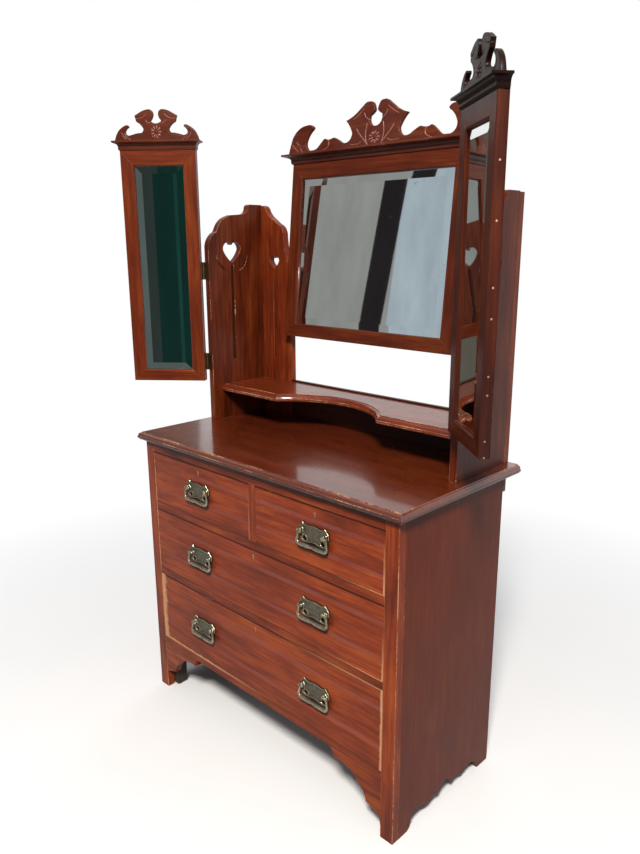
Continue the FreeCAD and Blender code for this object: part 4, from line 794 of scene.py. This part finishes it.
WING_LINES = [
    (stroke((28, 54), (26, 50.5), (23.5, 48.5), (18, 47), (13, 46.7)), 0.0012),
    (stroke((26.4, 69), (31, 64), (37.5, 60), (47, 58.5), (57, 58)), 0.0011),
    (stroke((84, 6), (91, 11), (97, 22)), 0.0011),
    (stroke((73, 5), (82, 10), (89, 20)), 0.0011),
]


# The crests' rosettes: middle over the base, half width, half height, petals, and the grid's cell
CENTRE_FLOWER = (0.024, 0.0195, 0.016, 9, 0.0009)
WING_FLOWER = (0.0226, 0.0146, 0.017, 9, 0.0007)


def crest(name, node, base, middle, lines, flower, front):
    """A carved pediment in place of the flat one, on the base and about the middle that are given."""
    sizes = bpy.context.scene.dressing_sizes
    space = piece_space(node)
    segments = front_outline(node, space, front, lambda c: c.z > base + NEAR)
    depth = sizes.carving
    centre, wide, tall, petals, cell = flower

    def height(x, z, inset):
        side = np.abs(x - middle)
        up = z - base
        raised, gouged = rosette((x - middle) / wide, (up - centre) / tall, petals)
        cut = rounded_rim(inset, 0.0016) + depth * raised
        for points, width in lines:
            line = groove(line_distance(side, up, points), width * 1.25)
            cut = cut - depth * line
            gouged = np.maximum(gouged, line)
        edge = groove(np.abs(inset - 0.0042), 0.0009)
        return cut - 0.2 * depth * edge, gouged

    return relief_board(name, segments, cell, front, front + CREST_THICK, height, space)


# turned and swept metal

def lathe(profile, steps=28):
    """A turned shape about the Y axis: each (radius, y) of the profile is carried round a circle."""
    turn = np.linspace(0, 2 * math.pi, steps, endpoint=False)
    radius, y = np.asarray(profile, dtype=float).T[:, :, None]
    points = np.stack([radius * np.cos(turn), y + 0 * turn, radius * np.sin(turn)], axis=2)
    return points.reshape(-1, 3), ring_faces(len(profile), steps)


def ring_faces(rows, steps):
    """Quads between rows of rings, with an n-sided cap on the first and the last."""
    i = np.arange(rows - 1)[:, None] * steps
    j = np.arange(steps)[None, :]
    k = (j + 1) % steps
    quads = np.stack([i + j, i + k, i + steps + k, i + steps + j], axis=2).reshape(-1, 4).tolist()
    quads.append(list(range(steps))[::-1])
    quads.append(list(range((rows - 1) * steps, rows * steps)))
    return quads


def sweep(path, radii, squash=1.0, steps=18):
    """A round bar: a circle of the given radii carried along a path in the XZ plane, at right
    angles to it. Squash flattens it along Y."""
    run = np.gradient(path, axis=0)
    run /= np.linalg.norm(run, axis=1, keepdims=True)
    side = np.stack([-run[:, 1], run[:, 0]], axis=1)
    turn = np.linspace(0, 2 * math.pi, steps, endpoint=False)
    out = radii[:, None] * np.cos(turn)
    deep = radii[:, None] * np.sin(turn) * squash
    x, z = path.T[:, :, None] + side.T[:, :, None] * out
    return np.stack([x, deep, z], axis=2).reshape(-1, 3), ring_faces(len(path), steps)


def bail_shape(sizes):
    """A drop bail about its pins, hanging down: two arms that splay and round into a bottom bar
    of two swelling halves with a nick between them, round eyes and inward pins."""
    eye_x, arm_length, corner_x, bend = 0.0455, 0.0215, 0.0380, 0.0090
    t = np.linspace(0, 1, 15)
    arm = np.stack([eye_x + 0.0015 * t ** 1.5 - 0.0008 * np.sin(np.pi * t), -arm_length * t], axis=1)
    a = np.linspace(0, math.pi / 2, 13)[1:]
    corner = np.stack([corner_x + bend * np.cos(a), -arm_length - bend * np.sin(a)], axis=1)
    b = np.linspace(corner_x, 0, 40)[1:]
    nick = 0.0009 * np.exp(-(b / 0.004) ** 2)
    half = np.concatenate([arm, corner, np.stack([b, nick - arm_length - bend], axis=1)])
    # the arm runs from 0 to 1, the corner to 2, the bar to 3 at its middle
    run = np.concatenate([t, np.linspace(1, 2, 13)[1:], 3 - b / corner_x])
    shares = np.array([0.56, 0.48, 0.60, 0.74, 0.86, 0.96, 1.0, 0.92, 0.76, 0.70])
    radius = np.interp(run, [0, 0.3, 0.75, 1.0, 1.5, 2.0, 2.45, 2.8, 2.93, 3.0], shares * sizes.bail_thick)
    path = np.concatenate([half, (half * [-1, 1])[:-1][::-1]])
    radii = np.concatenate([radius, radius[:-1][::-1]])
    parts = [sweep(path, radii, 0.92)]
    eye = [(0.0001, -0.0023), (0.0032, -0.0023), (0.0044, -0.0017), (0.0049, -0.0006)]
    pin = [(0.0001, -0.0068), (0.0014, -0.0068)]
    for side in (-1, 1):
        for start, x in ((eye, eye_x), (pin, 0.0388)):
            profile = start + [(radius, -y) for radius, y in reversed(start)]
            points, faces = lathe(profile, 24)
            turned = np.stack([points[:, 1] * side + side * x, -points[:, 0] * side, points[:, 2]], axis=1)
            parts.append((turned, faces))
    return parts


# Scrolls in the cast plates: how far across and up, radius and width of the line
SCROLLS = (
    (0.0310, 0.0400, 0.0058, 0.0017), (0.0415, 0.0385, 0.0042, 0.0015), (0.0300, 0.0240, 0.0050, 0.0015),
    (0.0420, 0.0270, 0.0044, 0.0014), (0.0365, 0.0070, 0.0046, 0.0016), (0.0175, 0.0060, 0.0040, 0.0014),
    (0.0060, 0.0065, 0.0036, 0.0013), (0.0, 0.0445, 0.0034, 0.0013),
)
# The knobs' outline: radius, and place in Y from the plate's face
KNOB = (
    (0.0022, 0.0), (0.0044, -0.0001), (0.0046, -0.0008), (0.0040, -0.0016), (0.0034, -0.0026),
    (0.0036, -0.0040), (0.0043, -0.0056), (0.0045, -0.0072), (0.0041, -0.0086), (0.0031, -0.0096),
    (0.0016, -0.0101), (0.0001, -0.0102),
)


def join_parts(name, parts):
    """One mesh of several shapes, each given as its points and its faces."""
    faces, base = [], 0
    for points, part_faces in parts:
        faces += [[i + base for i in face] for face in part_faces]
        base += len(points)
    mesh = bpy.data.meshes.new(name)
    mesh.from_pydata(np.concatenate([points for points, part_faces in parts]).tolist(), [], faces)
    mesh.validate()
    shape = bmesh.new()
    shape.from_mesh(mesh)
    bmesh.ops.recalc_face_normals(shape, faces=shape.faces)
    shape.to_mesh(mesh)
    shape.free()
    smooth_all(mesh, 38)
    return mesh


# operators

def bails_of(drawer):
    return sorted(node for node in NODES if node.startswith("bail_" + drawer))


class DressingCarcase(bpy.types.Operator):
    """Top board, side panels, stiles, rails, divider and bracket feet"""
    bl_idname = "dressing.carcase"
    bl_label = "Chest carcase"

    def execute(self, context):
        arris = context.scene.dressing_sizes.arris
        # the top board is darker along the lowest 12 mm of its edge: painted shade on the lower part of the
        # moulded edge
        top = mahogany("mahogany top", tint=0.42, polish=0.8, gloss=0.10, rough=0.30, wear=0.52, contrast=0.7,
                       scratches=0.5, shine=0.4, darkening=[(2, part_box("chest_top")[0].z, 0.012, 1)])
        sides = mahogany("mahogany sides", tint=0.56, polish=0.05, gloss=0.22, wear=0.45, contrast=0.5,
                         shine=0.10)
        front = mahogany("mahogany stiles", tint=0.95, gloss=0.2, wear=0.70, contrast=1.3)
        rails = mahogany("mahogany rails", tint=0.80, gloss=0.2, wear=0.30, contrast=1.6)
        board("top_board", "chest_top", top, arris * 0.8)
        for side in ("left", "right"):
            board("side_panel_" + side, "chest_side_" + side, sides, arris)
            board("stile_" + side, "chest_stile_" + side, front, arris * 1.2)
        for name, node in (("rail_under_top", "top_rail"), ("rails_between_drawers", "drawer_rails"),
                           ("rail_at_bottom", "bottom_rail"), ("divider", "drawer_divider")):
            board(name, node, rails, arris * 0.6)
        board("bracket_feet", "foot_brackets", rails, arris)
        return {"FINISHED"}


class DressingDrawers(bpy.types.Operator):
    """Reeded drawer fronts, their pine boxes, locks and keyhole linings"""
    bl_idname = "dressing.drawers"
    bl_label = "Drawers"

    def execute(self, context):
        arris = context.scene.dressing_sizes.arris
        lining = brass("keyhole brass", *KEYHOLE_BRASS, 0.34)
        pine = pine_wood("pine boxes")
        for name in DRAWERS:
            low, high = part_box("drawer_front_" + name)
            right_edge = (0, high.x, 0.0050, -1, 0.9, 2, low.z + 0.12, low.z + 0.01)
            strips = {
                "short_left": [(0, high.x, 0.0030, -1, 0.45, 2, high.z, low.z)],
                "short_right": [(2, low.z, 0.0040, 1, 0.9, 0, 0.27, 0.40), right_edge],
                "middle": [(2, low.z, 0.0045, 1, 0.9, 0, 0.22, 0.36), right_edge],
                "bottom": [(0, low.x, 0.0300, 1, 1.0, 2, low.z - 1, low.z),
                           (0, high.x, 0.0075, -1, 0.95, 2, low.z - 1, low.z),
                           (2, low.z, 0.0100, 1, 1.0, 0, 0.05, -0.20),
                           (2, high.z, 0.0040, -1, 0.6, 0, 0.1, 0.3)],
            }[name]
            # dark strips along the front's top and bottom edges: painted shade in the gaps between the
            # drawers
            darkening = [(2, high.z, 0.0045, -1), (2, low.z, 0.0035, 1)]
            reeds = [low.z + (high.z - low.z) * share for share in REEDS]
            bands = [(z - REED_HALF, z + REED_HALF) for z in reeds]
            # a dark patch round and under each bail: painted shade, partly grime of old polish
            ends = [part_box(bail) for bail in bails_of(name)]
            handle_grime_and_shade = [((start.x + end.x) / 2, end.z - HANDLE_PATCH_DOWN) for start, end in ends]
            wood = mahogany("mahogany drawer " + name.replace("_", " "), tint=1.0, gloss=0.2, wear=0.30,
                            contrast=1.15, strips=strips, bands=bands, darkening=darkening, handle_grime_and_shade=handle_grime_and_shade)
            board("drawer_face_" + name, "drawer_front_" + name, wood, arris * 0.7)
            board("drawer_sides_" + name, "drawer_box_" + name, pine, arris * 0.8)
            finish_node("drawer_lock_" + name, lining)
            finish_node("lock_bolt_" + name, lining)
        return {"FINISHED"}


class DressingInsides(bpy.types.Operator):
    """Back boards, drawer runners and glue blocks of plain pine"""
    bl_idname = "dressing.insides"
    bl_label = "Pine insides"

    def execute(self, context):
        # the glue blocks' pine is near black: painted shade under the chest
        pine = {"back_boards": pine_wood("pine stained", 0.34),
                "drawer_runners": pine_wood("pine plain", 0.6),
                "glue_blocks": pine_wood("pine dark", 0.07, 0.4)}
        arris = context.scene.dressing_sizes.arris
        for node, wood in pine.items():
            board("pine_" + node, node, wood, arris, along=2 if node == "back_boards" else None)
        return {"FINISHED"}


class DressingStandards(bpy.types.Operator):
    """Pierced corner standards, the shelf with its moulded edge, and the board behind it"""
    bl_idname = "dressing.standards"
    bl_label = "Standards and shelf"

    def execute(self, context):
        arris = context.scene.dressing_sizes.arris
        # the standards are a darker copy of the rear boards' wood: painted shade on their sides
        upright = mahogany("mahogany standards", tint=0.36, polish=0.10, gloss=0.2, wear=0.5, contrast=1.3)
        rear = mahogany("mahogany rear boards", tint=0.62, polish=0.10, gloss=0.2, wear=0.4, contrast=1.3)
        # the board behind the shelf is a near-black copy: painted shade under the shelf
        shade = mahogany("mahogany shelf back", tint=0.12, polish=0.05, gloss=0.3, wear=0.2, contrast=1.0)
        shelf = mahogany("mahogany shelf", tint=0.55, polish=0.6, gloss=0.12, wear=0.6, contrast=0.9,
                         scratches=0.3)
        for side in ("left", "right"):
            low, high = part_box("standard_side_" + side)
            inner = (0, high.x - SUNK[1], high.x - SUNK[0])
            if side == "right":
                inner = (0, low.x + SUNK[0], low.x + SUNK[1])
            board("standard_" + side, "standard_side_" + side, upright, arris, sunk=inner)
            low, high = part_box("standard_back_" + side)
            board("rear_board_" + side, "standard_back_" + side, rear, arris,
                  sunk=(1, low.y + SUNK[0], low.y + SUNK[1]))
        board("shelf_boards", "shelf", shelf, arris * 0.8)
        board("board_behind_shelf", "shelf_back", shade, arris)
        return {"FINISHED"}


class DressingMirrors(bpy.types.Operator):
    """Mitred mirror frames and their bevelled glass"""
    bl_idname = "dressing.mirrors"
    bl_label = "Mirror frames and glass"

    def execute(self, context):
        arris = context.scene.dressing_sizes.arris
        heights = (0.93, 0.962, 1.05, 1.085, 1.19, 1.245, 1.36, 1.46)
        dots = [piece_space("wing_frame_right") @ Vector((0.2150, -0.0145, z)) for z in heights]
        glass = mirror_silver("mirror glass")
        # the right wing's frame is a darker copy of the frame wood: painted shade on its front
        for name, node, wood, settings in (
                ("centre", "centre_frame", "centre", {"tint": 0.34, "wear": 0.30}),
                ("wing_left", "wing_frame_left", "left", {"tint": 0.50, "wear": 0.30}),
                ("wing_right", "wing_frame_right", "right", {"tint": 0.21, "wear": 0.40, "dots": dots})):
            wood = mahogany("mahogany " + wood + " frame", polish=0.12, gloss=0.18, **settings)
            board("frame_" + name, node, wood, arris * 0.8)
            finish_node(node.replace("frame", "glass"), glass)
        return {"FINISHED"}


class DressingCrests(bpy.types.Operator):
    """Cornices and carved pediments"""
    bl_idname = "dressing.crests"
    bl_label = "Carved crests"

    def execute(self, context):
        arris = context.scene.dressing_sizes.arris
        warm = mahogany("mahogany crests", tint=0.32, polish=0.12, gloss=0.2, wear=0.42, contrast=0.9,
                        carved=0.75, bloom_and_sheen=0.07)
        # the right wing's crest and cornice are a near-black copy of the crest wood: painted shade
        dark = mahogany("mahogany right crest", tint=0.035, polish=0.06, gloss=0.2, wear=0.22, contrast=0.9,
                        carved=0.25, shine=0.08)
        for name, node, base, middle, lines, flower, front, wood in (
                ("centre", "centre_cresting", 0.308, 0.0, CENTRE_LINES, CENTRE_FLOWER, -0.017, warm),
                ("wing_left", "wing_cresting_left", 1.596, -0.109, WING_LINES, WING_FLOWER, -0.0255, warm),
                ("wing_right", "wing_cresting_right", 1.596, 0.109, WING_LINES, WING_FLOWER, -0.0255, dark)):
            pediment = crest("crest_" + name, node, base, middle, lines, flower, front)
            shape = merged_copy(node)
            inverse = piece_space(node).inverted()
            turn = inverse.to_3x3()
            heights = [(face, (inverse @ face.calc_center_median()).z) for face in shape.faces]
            top = [face for face, z in heights
                   if z > base + NEAR or (z > base - NEAR and (turn @ face.normal).z < -0.9)]
            bmesh.ops.delete(shape, geom=top, context="FACES")
            join_flat_faces(shape)
            cornice = rounded_mesh("cornice_" + name, shape, arris * 0.6, False)
            finish_piece("cornice_" + name, cornice, node, wood, along=0)
            finish_piece("pediment_" + name, pediment, node, wood, along=0, replaces=False)
        return {"FINISHED"}


class DressingHandles(bpy.types.Operator):
    """Cast handle plates with their knobs, and the swinging bails"""
    bl_idname = "dressing.handles"
    bl_label = "Brass handles"

    def execute(self, context):
        sizes = context.scene.dressing_sizes
        colours = context.scene.dressing_colours
        metal = brass("handle brass", colours.brass_high, colours.brass_low, use_relief=True)
        rubbed = rgba(colours.brass_high, 1.15)
        plain = brass("handle brass rubbed", rubbed, rgba(colours.brass_low, 2.2), 0.30)
        for name in DRAWERS:
            node = "handle_plates_" + name
            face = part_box("drawer_front_" + name)[0].y
            for number, bail in enumerate(bails_of(name)):
                low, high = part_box(bail)
                middle = (low.x + high.x) / 2
                pin_z = high.z - PIN_DOWN
                self.plate(node, bail, middle, face, pin_z, metal, sizes.relief, number == 0)
                self.bail(bail, middle, face - PIN_OUT, pin_z, plain, sizes)
            self.posts(node, face, plain)
        return {"FINISHED"}

    def plate(self, node, bail, middle, face, pin_z, metal, relief, first):
        space = Matrix.Identity(4)
        segments = front_outline(node, space, face - PLATE, lambda c: abs(c.x - middle) < 0.06)
        # the posts' round holes are left to the posts: only the outline and the two gaps are kept
        keep = np.ones(len(segments), dtype=bool)
        for side in (-1, 1):
            centre = np.array([middle + side * POST_SIDE, pin_z])
            keep &= np.hypot(*(segments.mean(1) - centre).T) >= POST_HOLE
        segments = segments[keep]

        def height(x, z, inset):
            u = np.abs(x - middle)
            v = z - (pin_z - PLATE_FOOT)
            rim = 1.05 * groove(np.abs(inset - 0.0013), 0.0017)
            field = np.clip((inset - 0.0026) / 0.0018, 0, 1)
            shield = np.maximum(u / 0.0225, np.abs(v - PLATE_FOOT) / 0.0175)
            cushion = np.clip((1.0 - shield) / 0.14, 0, 1)
            ridge = groove(np.abs(shield - 1.06) * 0.02, 0.0016)
            for across, up, radius, width in SCROLLS:
                away = np.hypot(u - across, v - up)
                ridge = np.maximum(ridge, groove(np.abs(away - radius), width))
                ridge = np.maximum(ridge, 0.8 * groove(away, 0.0017))
            leaf = np.abs(np.sin(u * 300.0 + 1.6 * np.sin(v * 260.0)) * np.cos(v * 210.0))
            inner = np.where(shield < 1, 0.22 * cushion + 0.22 * leaf, 1.25 * ridge - 0.8)
            inner = inner - 0.8 * groove(np.abs(shield - 1.0) * 0.02, 0.0012)
            raised = np.maximum(rim, field * inner - 0.35 * (1 - rim))
            return rounded_rim(inset, 0.0012) + relief * raised, np.zeros_like(u)

        mesh = relief_board("plate_" + bail, segments, 0.0006, face - PLATE, face, height, space)
        finish_piece("plate_" + bail, mesh, node, metal, replaces=first)

    def bail(self, node, middle, pin_y, pin_z, metal, sizes):
        mesh = join_parts("swing_" + node, bail_shape(sizes))
        turn = Matrix.Translation((middle, pin_y, pin_z)) @ Matrix.Rotation(math.radians(-4), 4, "X")
        mesh.transform(turn)
        finish_piece("swing_" + node, mesh, node, metal)

    def posts(self, node, face, metal):
        """Turned knobs with a collar and a domed end, and the nuts on their shafts behind the face."""
        shape = merged_copy(node)
        centres = [(patch, patch.calc_center_median()) for patch in shape.faces]
        knobs = {}
        for patch, c in centres:
            if c.y < face - KNOB_OUT:
                knobs.setdefault((round(c.x / 0.02), round(c.z / 0.02)), []).append(c)
        in_front = [patch for patch, c in centres if c.y < face + 5 * NEAR]
        bmesh.ops.delete(shape, geom=in_front, context="FACES")
        join_flat_faces(shape)
        mesh = bpy.data.meshes.new("nuts_" + node)
        shape.to_mesh(mesh)
        shape.free()
        finish_piece("nuts_" + node, mesh, node, metal, replaces=False)
        turned, faces = lathe(KNOB)
        parts = []
        for points in knobs.values():
            centre = sum(points, Vector()) / len(points)
            parts.append((turned + [centre.x, face - PLATE, centre.z], faces))
        knob_mesh = join_parts("knobs_" + node, parts)
        finish_piece("knobs_" + node, knob_mesh, node, metal, replaces=False)


class DressingHinges(bpy.types.Operator):
    """Wing hinges and centre pivots of dull brass"""
    bl_idname = "dressing.hinges"
    bl_label = "Hinges and pivots"

    def execute(self, context):
        metal = brass("hinge brass", *HINGE_BRASS, 0.45)
        for node in ("hinge_fixed_left", "hinge_fixed_right", "hinge_moving_left", "hinge_moving_right",
                     "pivot_plates", "pivot_studs"):
            finish_node(node, metal)
        return {"FINISHED"}


# stage

def rectangle(name, wide, tall):
    """A flat sheet in the XY plane round the origin, and the nodes of its empty material."""
    x, y = wide / 2, tall / 2
    mesh = bpy.data.meshes.new(name)
    mesh.from_pydata([(-x, -y, 0), (x, -y, 0), (x, y, 0), (-x, y, 0)], [], [(0, 1, 2, 3)])
    panel = bpy.data.objects.new(name, mesh)
    bpy.context.scene.collection.objects.link(panel)
    material = bpy.data.materials.new(name)
    mesh.materials.append(material)
    return panel, empty_sheet(material)


def aimed(place, aim, axis):
    """The turn that points an object's axis from a place at its aim."""
    return (Vector(aim) - Vector(place)).to_track_quat(axis, "Y")


class DressingStage(bpy.types.Operator):
    """Pale floor and surround, soft lights and the camera"""
    bl_idname = "dressing.stage"
    bl_label = "Stage"

    def execute(self, context):
        scene = context.scene
        scene.view_settings.view_transform = "Standard"
        self.floor(scene)
        self.world(scene)
        self.lights(scene)
        self.cards()
        self.camera(scene)
        return {"FINISHED"}

    def floor(self, scene):
        floor, sheet = rectangle("floor", 18, 18)
        grit = sheet.ramp(sheet.noise(sheet.place(), 3.0, 3.0, 0.5), 0.2, 0.8, 0.97, 1.0)
        tone = sheet.mix(1.0, scene.dressing_colours.floor, sheet.grey(grit), "MULTIPLY")
        bounced = sheet.add("LightPath").outputs["Is Diffuse Ray"]
        diffuse = sheet.add("BsdfDiffuse", {"Color": sheet.mix(bounced, tone, (0.11, 0.105, 0.10))})
        away = sheet.add("VectorMath", {0: sheet.place()}, operation="LENGTH").outputs["Value"]
        far = sheet.math("SUBTRACT", sheet.ramp(away, 0.7, 2.0), bounced, clamp=True)
        white = sheet.add("Emission", {"Color": (1, 1, 1, 1), "Strength": 1.0})
        mixed = sheet.add("MixShader", {0: far, 1: diffuse.outputs[0], 2: white.outputs[0]})
        sheet.add("OutputMaterial", {"Surface": mixed.outputs[0]})

    def world(self, scene):
        scene.world = bpy.data.worlds.new("surround")
        sheet = empty_sheet(scene.world)
        rays = sheet.add("LightPath").outputs
        seen = sheet.math("ADD", rays["Is Camera Ray"], rays["Is Glossy Ray"], clamp=True)
        seen = sheet.math("ADD", seen, rays["Is Transmission Ray"], clamp=True)
        level = sheet.ramp(sheet.parts(sheet.place("Generated"))[2], -0.2, 0.9, 0.03, 0.46)
        light = sheet.add("Background", {"Color": (0.86, 0.90, 1.0, 1), "Strength": level})
        shown = sheet.add("Background", {"Color": (1, 1, 1, 1), "Strength": 1.0})
        mixed = sheet.add("MixShader", {0: seen, 1: light.outputs[0], 2: shown.outputs[0]})
        sheet.add("OutputWorld", {"Surface": mixed.outputs[0]})

    def lights(self, scene):
        for name, place, aim, size, power, tint in (
                ("key light", (2.0, -2.6, 3.85), (0.0, 0.0, 0.9), 0.8, 285.0, (1.0, 0.95, 0.88)),
                ("soft light", (-2.4, -3.0, 2.6), (0.0, 0.0, 0.8), 2.4, 5.0, (0.92, 0.95, 1.0)),
                ("back light", (-1.5, 3.0, 3.4), (0.0, 0.0, 1.0), 2.2, 16.0, (1.0, 1.0, 1.0))):
            data = bpy.data.lights.new(name, "AREA")
            data.shape = "DISK"
            data.size = size
            data.energy = power
            data.color = tint
            lamp = bpy.data.objects.new(name, data)
            scene.collection.objects.link(lamp)
            lamp.location = place
            lamp.visible_glossy = name == "key light"
            lamp.rotation_euler = aimed(place, aim, "-Z").to_euler()

    def cards(self):
        """Plain grey boards round the room that only the glass and the polish reflect."""
        centre, left, right = (0.0, 0.2, 1.3), (-0.53, -0.07, 1.3), (0.5, 0.0, 1.4)
        for name, place, aim, wide, tall, roll, tone in (
                ("card wall", (-3.40, -2.90, 2.25), centre, 4.6, 6.2, 0, (0.31, 0.31, 0.29)),
                ("card pale", (-1.72, -3.24, 1.90), centre, 1.52, 5.2, 2, (0.42, 0.48, 0.53)),
                ("card post", (-2.40, -2.76, 2.0), centre, 0.17, 3.9, 3, (0.020, 0.016, 0.018)),
                ("card grey", (0.20, -3.38, 1.35), left, 0.78, 2.5, 0, (0.10, 0.125, 0.12)),
                ("card mist", (0.655, -3.147, 1.35), left, 0.25, 2.6, 0, (0.030, 0.040, 0.036)),
                ("card green", (1.27, -2.95, 1.35), left, 1.75, 2.5, 0, (0.007, 0.028, 0.023)),
                ("card leaf", (0.93, -3.00, 1.35), left, 0.09, 2.5, 0, (0.012, 0.052, 0.041)),
                ("card low", (0.315, -1.88, 0.18), left, 1.2, 0.34, 0, (0.10, 0.12, 0.11)),
                ("card back", (-2.90, 0.85, 1.05), right, 1.6, 2.05, 0, (0.11, 0.10, 0.08))):
            card, sheet = rectangle(name, wide, tall)
            card.location = place
            turn = aimed(place, aim, "Z").to_matrix() @ Matrix.Rotation(math.radians(roll), 3, "Z")
            card.rotation_euler = turn.to_euler()
            for ray in ("camera", "diffuse", "shadow", "transmission"):
                setattr(card, "visible_" + ray, False)
            cloud = sheet.drawn_noise(sheet.place(), (5.0, 1.2, 1.0), 4.0, 0.6)
            cloud = sheet.ramp(cloud, 0.3, 0.7, 0.86, 1.12)
            glow = sheet.add("Emission", {"Color": rgba(tone), "Strength": cloud})
            sheet.add("OutputMaterial", {"Surface": glow.outputs[0]})

    def camera(self, scene):
        """The camera of the photograph: 44 degrees to the right, 14 above, nearly upright."""
        azimuth, elevation, roll = math.radians(44.2628), math.radians(14.3316), -0.004345
        focal_pixels, picture_height, sensor = 725.82, 854, 36.0
        level = math.cos(elevation)
        forward = Vector((-math.sin(azimuth) * level, math.cos(azimuth) * level, -math.sin(elevation)))
        right = forward.cross(Vector((0, 0, 1))).normalized()
        up = right.cross(forward)
        turned = right * math.cos(roll) + up * math.sin(roll)
        upright = up * math.cos(roll) - right * math.sin(roll)
        data = bpy.data.cameras.new("view")
        data.sensor_fit = "VERTICAL"
        data.sensor_height = sensor
        data.lens = focal_pixels / picture_height * sensor
        data.clip_end = 60
        camera = bpy.data.objects.new("view", data)
        scene.collection.objects.link(camera)
        axes = Matrix((turned, upright, -forward)).transposed().to_4x4()
        camera.matrix_world = Matrix.Translation((1.29107, -1.30484, 1.32612)) @ axes
        scene.camera = camera


class DressingPanel(bpy.types.Panel):
    """Lists the pieces and their settings"""
    bl_idname = "VIEW3D_PT_dressing"
    bl_label = "Dressing Table"
    bl_space_type = "VIEW_3D"
    bl_region_type = "UI"
    bl_category = "Dressing Table"

    def draw(self, context):
        for step in STEPS:
            self.layout.operator(step.bl_idname)
        for group in (context.scene.dressing_sizes, context.scene.dressing_colours):
            for name in group.__annotations__:
                self.layout.prop(group, name)


STEPS = (DressingCarcase, DressingDrawers, DressingInsides, DressingStandards, DressingMirrors,
         DressingCrests, DressingHandles, DressingHinges, DressingStage)
CLASSES = (DressingSizes, DressingColours) + STEPS + (DressingPanel,)


def register():
    for kind in CLASSES:
        bpy.utils.register_class(kind)
    bpy.types.Scene.dressing_sizes = bpy.props.PointerProperty(type=DressingSizes)
    bpy.types.Scene.dressing_colours = bpy.props.PointerProperty(type=DressingColours)


def unregister():
    del bpy.types.Scene.dressing_colours
    del bpy.types.Scene.dressing_sizes
    for kind in reversed(CLASSES):
        bpy.utils.unregister_class(kind)


def main():
    register()
    bpy.ops.dressing.carcase()
    bpy.ops.dressing.drawers()
    bpy.ops.dressing.insides()
    bpy.ops.dressing.standards()
    bpy.ops.dressing.mirrors()
    bpy.ops.dressing.crests()
    bpy.ops.dressing.handles()
    bpy.ops.dressing.hinges()
    bpy.ops.dressing.stage()


if __name__ == "__main__":
    main()
